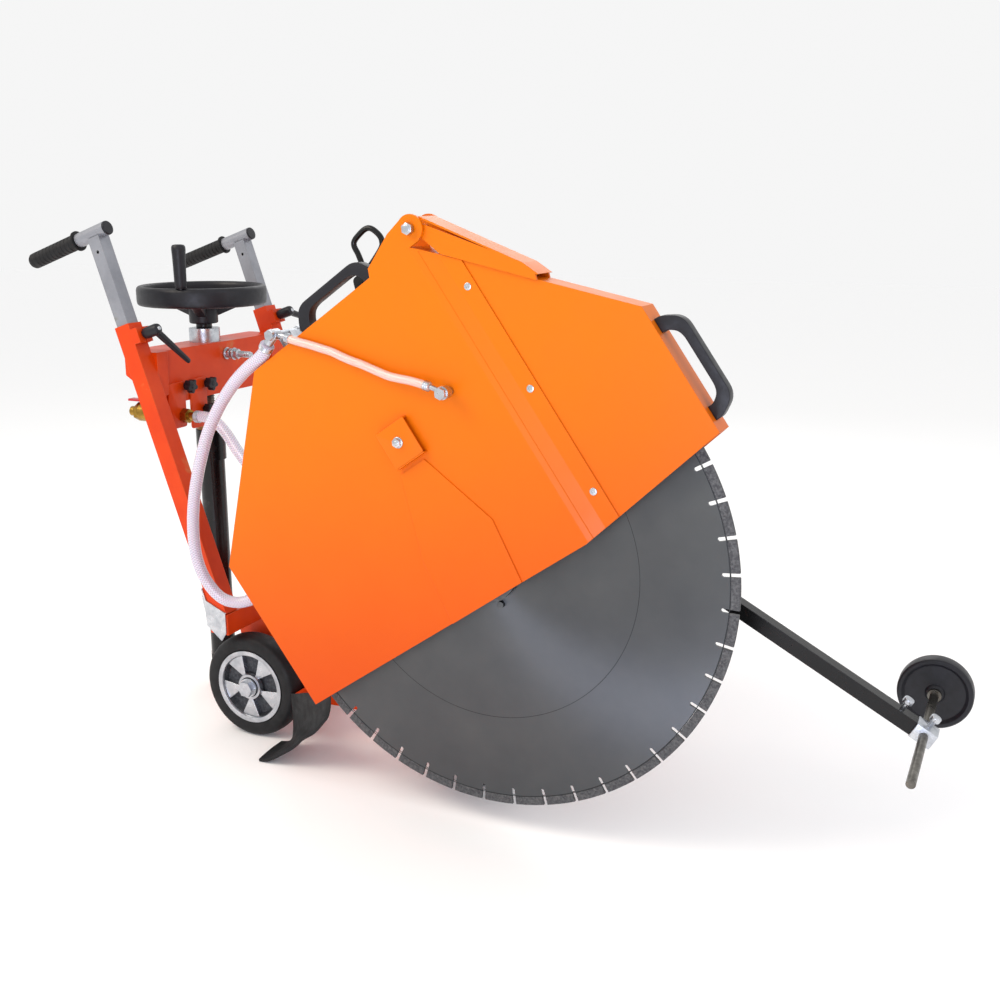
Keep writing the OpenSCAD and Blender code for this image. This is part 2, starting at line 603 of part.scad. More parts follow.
// Outline that a belt makes round both pulleys, grown by e over the groove bottoms
belt_span = norm([motor_x, motor_z]);
belt_dir = atan2(motor_z, motor_x);
belt_turn = acos((blade_pulley_r - motor_pulley_r) / belt_span);
function arc_points(r, a0, a1, n) = [for (i = [0 : n]) let (a = a0 + (a1 - a0) * i / n)
    r * [cos(a), sin(a)]];
function belt_outline(e) = concat(
    arc_points(blade_pulley_r - groove + e, belt_dir + belt_turn, belt_dir + 360 - belt_turn, 32),
    [for (p = arc_points(motor_pulley_r - groove + e, belt_dir - belt_turn, belt_dir + belt_turn, 32))
        p + [motor_x, motor_z]]);
module belt_ring(y0, y1, inner, outer) difference() {
    plate_y(belt_outline(outer), y0, y1);
    plate_y(belt_outline(inner), y0 - 1, y1 + 1);
}
module v_belts() color(black) on_frame() for (y = belt_y) belt_ring(y + 0.5, y + 0.5 + belt_w, gap, 10);
// Pressed cover over the belts, open towards the side plate of the frame
module belt_cover() color(black) on_frame() difference() {
    union() {
        belt_ring(guard_far + 3, plate_y0, 22, 24.5);
        plate_y(belt_outline(24), guard_far + 3, guard_far + 5.5);
    }
    bar_y(arbor_d / 2 + 3, 0, guard_far, guard_far + 10, 0);
}

// ---- blade ----
blade_r = blade_d / 2;
core_r = blade_r - seg_h;
slot_r = blade_r - slot_depth + slot_w / 2;
pitch = 360 / seg_count;
first_slot = 5.3 - tilt;
driver_r = 65;
// Angle of the driver pin behind the vertical, and its size
driver_turn = 64.6;
driver_pin_r = 5.5;
// Round bar as fine as the blade needs
module disc_y(r, y0, y1) translate([0, y0, 0]) rotate([-90, 0, 0]) cylinder(r = r, h = y1 - y0, $fn = 180);
module slots(r0) for (i = [0 : seg_count - 1]) rotate([0, -(first_slot + i * pitch), 0])
    translate([r0, -10, -slot_w / 2]) cube([60, 20, slot_w]);
module blade_core() color(steel) on_frame() difference() {
    disc_y(core_r, -core_t / 2, core_t / 2);
    bar_y(arbor_d / 2 + 0.02, 0, -10, 10, 0);
    slots(slot_r);
    for (i = [0 : seg_count - 1]) rotate([0, -(first_slot + i * pitch), 0])
        bar_y(slot_w / 2, slot_r, -10, 10, 0);
    rotate([0, tilt + driver_turn, 0]) bar_y(driver_pin_r + 0.1, driver_r, -10, 10, 0);
}
module blade_segments() color("dimgray") on_frame() difference() {
    disc_y(blade_r, -seg_t / 2, seg_t / 2);
    disc_y(core_r, -seg_t, seg_t);
    slots(core_r - 5);
}
module blade_shaft() color(steel) on_frame() {
    bar_y(arbor_d / 2, 0, -15, mid_y - tube_y + 8, 0);
    bar_y(11.9, 0, -36, -15, 0);
}
// Both flanges with their driver pin, and the arbor nut with its washer
module blade_clamp() color(zinc) on_frame() {
    for (y = [core_t / 2, -core_t / 2 - 12]) difference() {
        bar_y(flange_d / 2, 0, y, y + 12, 0);
        bar_y(arbor_d / 2 + 0.02, 0, y - 1, y + 13, 0);
    }
    rotate([0, tilt + driver_turn, 0]) bar_y(driver_pin_r, driver_r, -9, core_t / 2 + 1, 0);
    difference() {
        union() {
            hex_y(50, 0, -34, -18, 0);
            bar_y(32, 0, -18, -core_t / 2 - 12, 0);
        }
        bar_y(12, 0, -40, 0, 0);
        bar_y(arbor_d / 2 + 0.02, 0, -15.1, 0, 0);
    }
}

// ---- guard ----
shell_pts = [[-guard_rear + 8, -guard_low], [top_front - 5, -guard_low + 3],
    [split_x + strip_w, hood_low(split_x + strip_w)], [split_x + strip_w, top_at(split_x + strip_w)],
    [top_front, guard_top], [-top_rear, guard_top], [-guard_rear, guard_rear_top]];
// Height of the sloping top, and of the rising lower edge, at x
function top_at(x) = guard_top - (x - top_front) * (guard_top - nose_top) / (nose_x - top_front);
function hood_low(x) = -guard_low + 9 + (x - split_x) * (guard_low - 9 - nose_low) / (nose_x - split_x);
split_gap = 2;
module shell_body() {
    inner = inset(shell_pts, sheet_t);
    difference() {
        plate_y(shell_pts, -guard_near, guard_far);
        plate_y(inner, -guard_near + sheet_t, guard_far - sheet_t);
        block(-guard_rear + 8 + sheet_t, split_x + strip_w + 1, -guard_near + sheet_t, guard_far - sheet_t,
            -guard_low - 10, 0);
        // everything in front of the joint, but for the stepped near strip
        block(split_x, split_x + 100, -guard_near - 1, guard_far + 1, -guard_low - 20, guard_top);
        // bevel that steps the near wall inwards before the joint
        translate([0, 0, -100]) linear_extrude(700) polygon([[top_front, -guard_near - 1],
            [top_front, -guard_near], [split_x, -guard_near + hood_step],
            [split_x + 1, -guard_near + hood_step], [split_x + 1, -guard_near - 1]]);
    }
    // inner skin behind the bevel, so the wall keeps its thickness
    intersection() {
        plate_y(shell_pts, -guard_near, 0);
        translate([0, 0, -100]) linear_extrude(700) polygon([[top_front - 1, -guard_near + 0.4],
            [split_x, -guard_near + hood_step], [split_x + strip_w, -guard_near + hood_step],
            [split_x + strip_w, -guard_near + hood_step + 2], [split_x, -guard_near + hood_step + 2],
            [top_front - 1, -guard_near + sheet_t]]);
    }
}
ear_x = 208;
ear_z = 477;
ear_r = 21;
strip_screw_z = [11, 184.5, 359];
banjo_x = 126;
banjo_z = 249;
module guard_shell() color(orange) on_frame() difference() {
    union() {
        shell_body();
        for (y = [-guard_near, guard_far - 5]) {
            bar_y(ear_r, ear_x, y, y + 5, ear_z);
            plate_y([[108, guard_top - 3], [211, guard_top - 3], [228, ear_z - 2], [ear_x - 8, ear_z + 19.5],
                [172, 492], [115, 470]], y, y + 5);
        }
    }
    bar_y(5 + run, ear_x, -60, 60, ear_z);
    bar_y(22, 0, guard_far - 5, guard_far + 6, 0);
    // opening behind the service flap, for the blade flange and its spanner
    plate_y([[-62, -guard_low - 1], [52, -guard_low - 1], [52, 50], [15, 150], [-15, 150], [-62, 50]],
        -guard_near - 1, -guard_near + sheet_t + 1);
    for (z = strip_screw_z) bar_y(2.6, split_x + strip_w / 2, -guard_near, -20, z);
    bar_y(6.1, banjo_x, -guard_near - 1, -30, banjo_z);
    bar_y(4.1, 10, -guard_near - 1, -30, 229);
}
// Cover over the blade nut: wide at the foot, narrowing to the clip
module service_flap() color(orange) on_frame()
    plate_y([[-82, -guard_low + 1], [62, -guard_low + 2.5], [75, 54], [28, 187], [-22, 187], [-69, 54]],
        -guard_near - 2, -guard_near);
module guard_fasteners() color(zinc) on_frame() {
    // hat clip over the top of the service flap, with its screw
    color(orange) difference() {
        union() {
            block(-18, 40, -guard_near - 4.2, -guard_near - 2.2, 190, 196);
            block(-18, 40, -guard_near - 12, -guard_near - 10, 196, 256);
            block(-18, 40, -guard_near - 12, -guard_near, 256, 258);
            block(-18, 40, -guard_near - 12, -guard_near - 2.2, 194, 196);
        }
        bar_y(4.2, 10, -guard_near - 20, -guard_near, 229);
    }
    bar_y(4, 10, -guard_near - 14, -guard_near - 0.1, 229);
    bar_y(9, 10, -guard_near - 14, -guard_near - 12.1, 229);
    hex_y(13, 10, -guard_near - 19, -guard_near - 14, 229);
    for (z = strip_screw_z) {
        bar_y(2.5, split_x + strip_w / 2, -guard_near + hood_step + 0.1, -guard_near + hood_step + 2, z);
        bar_y(5.5, split_x + strip_w / 2, -guard_near + hood_step - 1.2, -guard_near + hood_step, z);
    }
    // hinge pin
    bar_y(5, ear_x, -guard_near - 2, guard_far + 2, ear_z);
    hex_y(16, ear_x, -guard_near - 10, -guard_near - 2, ear_z);
    hex_y(16, ear_x, guard_far + 2, guard_far + 10, ear_z);
}
hood_near = guard_near - hood_step - 2.3;
hood_far = guard_far - sheet_t - gap;
hood_pts = [[split_x + split_gap, hood_low(split_x)], [nose_x, -nose_low], [nose_x, nose_top],
    [split_x + split_gap, top_at(split_x + split_gap)]];
module hood() color(orange) on_frame() {
    difference() {
        plate_y(hood_pts, -hood_near, hood_far);
        plate_y(inset(hood_pts, sheet_t), -hood_near + sheet_t, hood_far - sheet_t);
        // open towards the rear shell and downwards
        block(split_x - 10, split_x + 12, -hood_near + sheet_t, hood_far - sheet_t,
            -guard_low - 10, top_at(split_x + 12) - 2 * sheet_t);
        plate_y([[split_x, -guard_low - 20], [nose_x - sheet_t, -guard_low - 20], [nose_x - sheet_t, 30],
            [split_x + 10, 10], [split_x, 0]], -hood_near + sheet_t, hood_far - sheet_t);
    }
    // U bracket to the hinge pin
    difference() {
        union() {
            for (y = [-guard_near + 5.5, guard_far - 9.5]) {
                bar_y(15, ear_x, y, y + 4, ear_z);
                plate_y([[ear_x + 4, ear_z - 14.5], [split_x + 4, top_at(split_x) - 3],
                    [332, top_at(332) - 1], [336, top_at(336) + 14], [328, top_at(328) + 27],
                    [ear_x + 5, ear_z + 14]], y, y + 4);
            }
            plate_y([[ear_x + 20, ear_z + 3], [328, top_at(328) + 23], [336, top_at(336) + 10],
                [339, top_at(339) + 12], [328, top_at(328) + 27], [ear_x + 20, ear_z + 8]],
                -guard_near + 5.5, guard_far - 5.5);
        }
        bar_y(5 + run, ear_x, -60, 60, ear_z);
    }
}
// Bridge handle with a rounded finger gap; it stands on z = 0 and runs along x
handle_len = 163;
handle_h = 38;
handle_w = 20;
module bridge_handle() difference() {
    plate_y([[0, 0], [handle_len, 0], [handle_len, 6], [handle_len - 10, handle_h - 9],
        [handle_len - 22, handle_h], [22, handle_h], [10, handle_h - 9], [0, 6]], 0, handle_w);
    plate_y([[22, -1], [handle_len - 22, -1], [handle_len - 22, 6], [handle_len - 31, handle_h - 17],
        [handle_len - 38, handle_h - 14], [38, handle_h - 14], [31, handle_h - 17], [22, 6]],
        -1, handle_w + 1);
}
module guard_handle() color(black) on_frame() translate([-46, -guard_near + 5.3, guard_top]) bridge_handle();
module hood_handle() color(black) on_frame()
    translate([nose_x, -hood_near + 15, 88 + handle_len / 2]) rotate([0, 90, 0]) bridge_handle();

// ---- water ----
pipe_x = -87;
pipe_z = guard_top + 25;
module water_fittings() color(zinc) on_frame() {
    // cross pipe on its bracket, with a banjo head at the near end and a brass barb at the far end
    bar_y(5, pipe_x, -34, 20, pipe_z);
    bar_y(9, pipe_x, -50, -34, pipe_z);
    hex_y(15, pipe_x, -58, -50, pipe_z);
    color("goldenrod") {
        hex_y(15, pipe_x, 20, 30, pipe_z);
        bar_y(5, pipe_x, 30, 50, pipe_z);
    }
    block(pipe_x - 12, pipe_x + 14, -20, 6, guard_top, pipe_z - 4);
    // barb and clamp of the braided hose, and of the spray hose
    translate([pipe_x, -42, pipe_z]) {
        rotate([0, 255, 0]) cylinder(r = 7.5, h = 19.3, $fn = 32);
        rotate([0, 132, 0]) cylinder(r = 4, h = 22, $fn = 32);
    }
    // banjo bolt on the near face of the guard
    bar_y(6, banjo_x, -guard_near - 12, -guard_near + 4, banjo_z);
    bar_y(10, banjo_x, -guard_near - 26, -guard_near - 12, banjo_z);
    hex_y(16, banjo_x, -guard_near - 34, -guard_near - 26, banjo_z);
    translate([banjo_x, -guard_near - 19, banjo_z]) rotate([0, -38, 0]) cylinder(r = 4, h = 24, $fn = 32);
}
// Hoses: a tube swept along its route, with n sides
function frame_dir(pts, i) = unit(pts[min(i + 1, len(pts) - 1)] - pts[max(i - 1, 0)]);
function side_dir(t) = unit(cross(t, abs(t[1]) < 0.9 ? [0, 1, 0] : [1, 0, 0]));
function tube_ring(p, t, r, n) = let (a = side_dir(t), b = cross(t, a))
    [for (k = [0 : n - 1]) p + r * (a * cos(360 * k / n) + b * sin(360 * k / n))];
module hose(pts, r, n = 10) {
    m = len(pts);
    points = [for (i = [0 : m - 1]) each tube_ring(pts[i], frame_dir(pts, i), r, n)];
    sides = [for (i = [0 : m - 2], k = [0 : n - 1])
        [i * n + k, i * n + (k + 1) % n, (i + 1) * n + (k + 1) % n, (i + 1) * n + k]];
    polyhedron(points, concat([[for (k = [n - 1 : -1 : 0]) k]], sides,
        [[for (k = [0 : n - 1]) (m - 1) * n + k]]));
}
// From the cross pipe, down behind the wheel and up again to the elbow on the crossbeam
feed_route = [
    [191.2, -41.8, 675.1], [176, -36, 657], [145, -28, 637], [112, -18, 614], [82, -8, 588], [53, 0, 556],
    [25, 6, 515], [5, 10, 472], [-12, 14, 429], [-26, 18, 384], [-35, 22, 339], [-38, 26, 295],
    [-33, 30, 257], [-21, 36, 226], [-3, 42, 203], [16, 49, 193], [40, 58, 193], [68, 70, 206],
    [90, 84, 232], [102, 96, 268], [103, 108, 308], [92, 120, 345], [68, 132, 374], [36, 143, 396],
    [-2, 153, 418], [-36, 162, 444], [-66, 171, 472], [-94, 178, 491], [-122, 183, 499],
    [-147.2, 184, 498]
];
spray_route = [
    [-70.5, -44, 467.4], [-59, -47, 455], [-46, -48, 442], [-33, -48.5, 429], [-21, -49, 416],
    [-9, -49, 403], [2, -50, 388], [13, -51, 374], [25, -51, 360], [36, -52, 346], [47, -53, 332],
    [59, -55, 318], [72, -56, 306], [86, -57, 294], [99, -58, 281], [111, -59, 268]
];
module braided_hose() color("lavender") place() hose(feed_route, 10.5, 12);
module spray_hose() color("mistyrose") on_frame() hose(spray_route, 6.5);

// ---- rubber flap between the near wheel and the blade ----
flap_t = 5;
flap_near_y = 26;
flap_far_y = 106;
flap_x = 110.6;
flap_z = 0;
flap_near = [[78, -97], [103, -91], [153, -58], [176, -36], [201, -18], [222, 6], [232, 21], [237, 43],
    [237, 66]];
flap_far = [[72, -97], [90, -93], [98, -85], [101, -70], [102, -55], [102, -40], [102, -25], [101, -10],
    [101, 6]];
// The points of one edge moved by t across the sheet
function moved(pts, t) = [for (i = [0 : len(pts) - 1])
    let (d = unit(pts[min(i + 1, len(pts) - 1)] - pts[max(i - 1, 0)])) pts[i] + t * [-d[1], d[0]]];
function edge(pts, y) = [for (p = pts) [p[0], y, p[1]]];
module mud_flap() color(black) place() {
    n = len(flap_near);
    h = flap_t / 2;
    points = concat(edge(moved(flap_near, h), flap_near_y), edge(moved(flap_near, -h), flap_near_y),
        edge(moved(flap_far, h), flap_far_y), edge(moved(flap_far, -h), flap_far_y));
    polyhedron(points, concat(
        [for (i = [0 : n - 2]) each quad(i, i + 1, 2 * n + i + 1, 2 * n + i)],
        [for (i = [0 : n - 2]) each quad(n + i + 1, n + i, 3 * n + i, 3 * n + i + 1)],
        [for (i = [0 : n - 2]) each quad(i + 1, i, n + i, n + i + 1)],
        [for (i = [0 : n - 2]) each quad(2 * n + i, 2 * n + i + 1, 3 * n + i + 1, 3 * n + i)],
        quad(0, 2 * n, 3 * n, n), quad(n - 1, 2 * n - 1, 4 * n - 1, 3 * n - 1)));
}
function quad(a, b, c, d) = [[a, b, c], [a, c, d]];

// ---- guide ----
rod_tip = -guide_y;
rod_end = 195;
guide_wheel_w = 28;
wheel_mid = 172;
module on_arm() on_frame() translate([hinge_x, guide_y, hinge_z]) rotate([0, guide_fall + tilt, 0])
    children();
module guide_arm() color(black) on_arm() difference() {
    union() {
        block(0, guide_len - 18, -guide_bar / 2, guide_bar / 2, -guide_bar / 2, guide_bar / 2);
        bar_y(15, 0, -guide_bar / 2, guide_bar / 2, 0);
    }
    block(24, guide_len - 17, -guide_bar / 2 + 3, guide_bar / 2 - 3, -guide_bar / 2 + 3, guide_bar / 2 - 3);
    bar_y(6 + run, 0, -guide_bar, guide_bar, 0);
}
module guide_block() color(zinc) on_arm() {
    difference() {
        block(guide_len - 18, guide_len + 17, -16, 16, -13, 13);
        bar_y(guide_rod_d / 2 + run, guide_len, -20, 20, 0);
    }
    for (y = [-8, 8]) bar_z(5, guide_len, y, 13, 17);
}
module guide_rod() color(steel) on_arm() {
    bar_y(guide_rod_d / 2, guide_len, rod_tip, rod_end, 0);
    for (y = [wheel_mid - guide_wheel_w / 2 - 7, wheel_mid + guide_wheel_w / 2 + 0.5])
        bar_y(11, guide_len, y, y + 6.5, 0);
}
module guide_wheel() color(black) on_arm() translate([guide_len, wheel_mid, 0]) rotate([-90, 0, 0]) {
    w = guide_wheel_w / 2;
    r = guide_wheel_d / 2;
    rotate_extrude($fn = 96) polygon([[guide_rod_d / 2 + run, -w], [18, -w], [20, -w + 7],
        [r - 14, -w + 7], [r - 12, -w], [r - 3, -w], [r, -w + 4], [r, w - 4], [r - 3, w], [r - 12, w],
        [r - 14, w - 7], [20, w - 7], [18, w], [guide_rod_d / 2 + run, w]]);
}

// ---- switch box on the far side, with its power inlet ----
box_x = [-95, 15];
box_y = [312, 396];
box_z = [65, 205];
start_at = [-60, 165];
stop_at = [-15, 165];
module switch_box() color("gray") on_frame() {
    difference() {
        block(box_x[0], box_x[1], box_y[0], box_y[1], box_z[0], box_z[1]);
        block(box_x[0] + 3, box_x[1] - 3, box_y[0] + 3, box_y[1] - 3, box_z[0] + 3, box_z[1] - 3);
        for (p = [start_at, stop_at]) bar_y(8.4, p[0], box_y[1] - 5, box_y[1] + 1, p[1]);
        bar_x(24, box_x[1] - 5, box_x[1] + 1, (box_y[0] + box_y[1]) / 2, 110);
    }
    // appliance inlet with its collar
    color("red") difference() {
        bar_x(34, box_x[1], box_x[1] + 40, (box_y[0] + box_y[1]) / 2, 110);
        bar_x(30, box_x[1] + 4, box_x[1] + 41, (box_y[0] + box_y[1]) / 2, 110);
    }
}
module push_button(p, r) on_frame() {
    bar_y(8, p[0], box_y[1] - 10, box_y[1] + 7, p[1]);
    bar_y(r, p[0], box_y[1] + 6, box_y[1] + 13, p[1]);
}
module start_button() color("green") push_button(start_at, 12);
module stop_button() color("red") push_button(stop_at, 17);

chassis();
axles();
rear_tyre(rear_near_y);  // rear_tyre_near
rear_rim(rear_near_y);  // rear_rim_near
rear_tyre(rear_far_y);  // rear_tyre_far
rear_rim(rear_far_y);  // rear_rim_far
front_wheel(rear_near_y);  // front_wheel_near
front_wheel(rear_far_y);  // front_wheel_far
wheel_brackets();
handle_post(post_near_y);  // handle_post_near
handle_post(post_far_y);  // handle_post_far
crossbeam();
spindle_bearing();
beam_fittings();
star_knob(knobs[0]);  // star_knob_a
star_knob(knobs[1]);  // star_knob_b
star_knob(knobs[2]);  // star_knob_c
ball_valve();
valve_lever();
clamp_lever(post_near_y, near_lever_a);  // clamp_lever_near
clamp_lever(post_far_y, far_lever_a);  // clamp_lever_far
handle_tube(post_near_y, handle_up);  // handle_tube_near
handle_tube(post_far_y, handle_up - far_drop);  // handle_tube_far
handle_grip(post_near_y, handle_up);  // grip_near
handle_grip(post_far_y, handle_up - far_drop);  // grip_far
handwheel();
handwheel_knob();
spindle();
lift_tube();
spindle_nut();
saw_frame();
motor_housing();
motor_shaft();
motor_pulley();
v_belts();
belt_cover();
blade_shaft();
blade_pulley();
blade_clamp();
blade_core();
blade_segments();
bearing_blocks();
guard_shell();
service_flap();
guard_fasteners();
hood();
guard_handle();
hood_handle();
lifting_eye();
water_fittings();
braided_hose();
spray_hose();
mud_flap();
guide_arm();
guide_block();
guide_rod();
guide_wheel();
switch_box();
start_button();
stop_button();
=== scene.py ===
# Walk-behind concrete saw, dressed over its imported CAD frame.
import json
import math

import bmesh
import bpy
from mathutils import Matrix, Vector


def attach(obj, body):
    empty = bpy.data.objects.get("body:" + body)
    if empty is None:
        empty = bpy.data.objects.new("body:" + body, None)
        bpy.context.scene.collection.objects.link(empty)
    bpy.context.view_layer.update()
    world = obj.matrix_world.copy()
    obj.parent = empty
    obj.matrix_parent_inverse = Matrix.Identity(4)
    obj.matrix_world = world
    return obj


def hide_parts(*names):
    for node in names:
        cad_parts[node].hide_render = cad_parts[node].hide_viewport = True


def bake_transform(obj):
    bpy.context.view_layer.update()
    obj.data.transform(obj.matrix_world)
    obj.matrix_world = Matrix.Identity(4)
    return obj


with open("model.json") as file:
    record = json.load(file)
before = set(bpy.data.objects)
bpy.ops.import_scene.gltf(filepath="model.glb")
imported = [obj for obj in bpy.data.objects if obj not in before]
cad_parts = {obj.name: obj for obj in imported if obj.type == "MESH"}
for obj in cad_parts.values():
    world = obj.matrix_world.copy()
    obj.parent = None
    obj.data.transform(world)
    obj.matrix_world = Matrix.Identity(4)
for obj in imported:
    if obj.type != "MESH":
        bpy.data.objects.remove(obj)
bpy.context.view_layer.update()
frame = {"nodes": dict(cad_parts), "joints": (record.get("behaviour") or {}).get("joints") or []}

# ---- Camera, floor and light -------------------------------------------------------------
# The saw stands on a pale floor in a bright room, seen from its blade side a little from
# above. A warm soft box is the main light, a narrow one faces the blade, and two fill in.
scene = bpy.context.scene
scene.view_settings.view_transform = "Standard"


def aim(name, data, where, target):
    """Puts a lamp or the camera at a place and turns it to look at the target."""
    thing = bpy.data.objects.new(name, data)
    scene.collection.objects.link(thing)
    turn = (Vector(target) - Vector(where)).to_track_quat("-Z", "Y")
    thing.matrix_world = Matrix.Translation(where) @ turn.to_matrix().to_4x4()
    return thing


lens = bpy.data.cameras.new("Camera")
lens.lens = 42.44
lens.sensor_width = 36
AZIMUTH, ELEVATION = math.radians(24.96), math.radians(14.108)
joints = {joint["name"]: joint for joint in frame["joints"]}
BLADE_CENTRE = Vector(joints["blade_spin"]["pos_m"])
stand = BLADE_CENTRE + Vector((0.7595, -1.5806, 0.5453))
gaze = Vector((-math.sin(AZIMUTH) * math.cos(ELEVATION), math.cos(AZIMUTH) * math.cos(ELEVATION),
               -math.sin(ELEVATION)))
scene.camera = aim("Camera", lens, stand, stand + gaze)


def node(tree, kind, inputs=None, **settings):
    """Adds a node; inputs maps a socket's name or number to a value or to another node's output."""
    made = tree.nodes.new(kind)
    for key, value in settings.items():
        setattr(made, key, value)
    for key, value in (inputs or {}).items():
        if isinstance(value, bpy.types.NodeSocket):
            tree.links.new(value, made.inputs[key])
        else:
            made.inputs[key].default_value = value
    return made


def linear(hex_colour):
    """An sRGB hex colour as linear red, green, blue and alpha."""
    parts = [int(hex_colour[i:i + 2], 16) / 255 for i in (1, 3, 5)]
    return [c / 12.92 if c <= 0.04045 else ((c + 0.055) / 1.055) ** 2.4 for c in parts] + [1.0]


def soft_box(name, where, target, width, height, watts, colour="#FFFFFF"):
    """A rectangular lamp behind a diffuser, in metres and watts."""
    light = bpy.data.lights.new(name, "AREA")
    light.shape, light.size, light.size_y, light.energy = "RECTANGLE", width, height, watts
    light.color = linear(colour)[:3]
    return aim(name, light, where, target)


MIDDLE = (0, -0.1, 0.45)
soft_box("Key_box", (-1.5, -1.7, 2.5), MIDDLE, 1.6, 1.2, 40, "#FFF4E4")
soft_box("Blade_box", (0.55, -2.4, 0.5), (0.15, 0, 0.3), 0.25, 0.9, 14, "#E2E8FF")
soft_box("Side_box", (2.4, -0.2, 1.6), MIDDLE, 1.0, 1.6, 7, "#F4F6FF")
soft_box("Back_box", (-0.6, 2.4, 2.2), MIDDLE, 2.2, 1.2, 12)
room = bpy.data.worlds.new("Bright_room")
scene.world = room
room.use_nodes = True
room.node_tree.nodes["Background"].inputs["Color"].default_value = linear("#FFFFFF")
room.node_tree.nodes["Background"].inputs["Strength"].default_value = 0.92

floor_mesh = bpy.data.meshes.new("Floor")
floor_mesh.from_pydata([(-14, -14, 0), (14, -14, 0), (14, 14, 0), (-14, 14, 0)], [], [(0, 1, 2, 3)])
floor = bpy.data.objects.new("Floor", floor_mesh)
scene.collection.objects.link(floor)
floor_paint = bpy.data.materials.new("Matt_floor_paint")
floor_paint.use_nodes = True
floor_paint.node_tree.nodes["Principled BSDF"].inputs["Base Color"].default_value = linear("#FFFFFF")
floor_paint.node_tree.nodes["Principled BSDF"].inputs["Roughness"].default_value = 0.9
floor_mesh.materials.append(floor_paint)

# ---- Places on the machine ---------------------------------------------------------------
# The undercarriage is measured from the rear axle, in the plane of the blade. The tilting
# saw frame is measured level, from the blade centre, and stands raised by 35 degrees.
AXLE = Vector((joints["frame_tilt"]["pos_m"][0], BLADE_CENTRE.y, joints["frame_tilt"]["pos_m"][2]))
RAISED = math.radians(35)
MM = 0.001
FROM_AXLE = Matrix.Translation(AXLE) @ Matrix.Scale(MM, 4)
ON_FRAME = Matrix.Translation(BLADE_CENTRE) @ Matrix.Rotation(-RAISED, 4, "Y") @ Matrix.Scale(MM, 4)
TO_Y = Matrix.Rotation(math.radians(-90), 4, "X")
TO_X = Matrix.Rotation(math.radians(90), 4, "Y")


def at(x, y, z):
    """A move by millimetres."""
    return Matrix.Translation((x, y, z))


# ---- Water hoses -------------------------------------------------------------------------
# A braided clear PVC hose, 21 mm across, brings water from the elbow on the crossbeam round
# to the cross pipe on the guard, and a thin clear hose feeds the banjo on the guard's side.
# The wall is milky where it is thick, and the white braid shows as crossing threads.
def piece(name, shape, place, material, round_mm=0.0, steps=2):
    """A mesh object from points in millimetres of a place, with its hard edges rounded."""
    mesh = bpy.data.meshes.new(name)
    mesh.from_pydata(shape[0], [], shape[1])
    if round_mm:
        solid = bmesh.new()
        solid.from_mesh(mesh)
        hard = [e for e in solid.edges if len(e.link_faces) == 2 and e.calc_face_angle() > 0.5]
        bmesh.ops.bevel(solid, geom=hard, offset=round_mm, offset_type="OFFSET", segments=steps,
                        profile=0.5, affect="EDGES", clamp_overlap=True)
        solid.to_mesh(mesh)
        solid.free()
    mesh.transform(place)
    mesh.materials.append(material)
    mesh.shade_smooth()
    mesh.set_sharp_from_angle(angle=math.radians(38))
    made = bpy.data.objects.new(name, mesh)
    scene.collection.objects.link(made)
    return made


def settle(made, body, slot, *nodes):
    """Says what a piece rides on and which CAD nodes it stands for; slot is not used."""
    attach(made, body)
    if nodes:
        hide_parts(*nodes)
    return made


def principled(name, **values):
    """A new material, with its shader's own values set: (node tree, shader, material)."""
    made = bpy.data.materials.new(name)
    made.use_nodes = True
    shader = made.node_tree.nodes["Principled BSDF"]
    for key, value in values.items():
        shader.inputs[key.replace("_", " ")].default_value = value
    return made.node_tree, shader, made


def spline(points, steps):
    """A smooth line through the points, with steps between each two of them."""
    line = []
    last = len(points) - 1
    for i in range(last):
        a, b, c, d = (Vector(points[min(max(i + k, 0), last)]) for k in (-1, 0, 1, 2))
        for step in range(steps):
            t = step / steps
            line.append(0.5 * (2 * b + (c - a) * t + (2 * a - 5 * b + 4 * c - d) * t ** 2
                               + (3 * b - a - 3 * c + d) * t ** 3))
    return line + [Vector(points[-1])]


def swept(name, line, radius, sides, place, material):
    """A round tube along a line, with closed ends and a UV map in metres: length, then girth."""
    points, faces, along = [], [], [0.0]
    across = Vector((0, 1, 0))
    count = len(line)
    for i, p in enumerate(line):
        ahead = (line[min(i + 1, count - 1)] - line[max(i - 1, 0)]).normalized()
        across = (across - ahead * across.dot(ahead)).normalized()
        other = ahead.cross(across)
        for k in range(sides):
            turn = 2 * math.pi * k / sides
            points.append(p + radius * (math.cos(turn) * across + math.sin(turn) * other))
        if i:
            along.append(along[-1] + (p - line[i - 1]).length * MM)
    for i in range(count - 1):
        for k in range(sides):
            a, b = i * sides + k, i * sides + (k + 1) % sides
            faces.append((a, b, b + sides, a + sides))
    faces += [tuple(reversed(range(sides))), tuple(range(len(points) - sides, len(points)))]
    made = piece(name, (points, faces), place, material)
    uv = made.data.uv_layers.new(name="Run")
    girth = 2 * math.pi * radius * MM
    for face in made.data.polygons[:-2]:
        i, k = divmod(face.index, sides)
        for loop, (di, dk) in zip(face.loop_indices, ((0, 0), (0, 1), (1, 1), (1, 0))):
            uv.data[loop].uv = (along[i + di], girth * (k + dk) / sides)
    return made


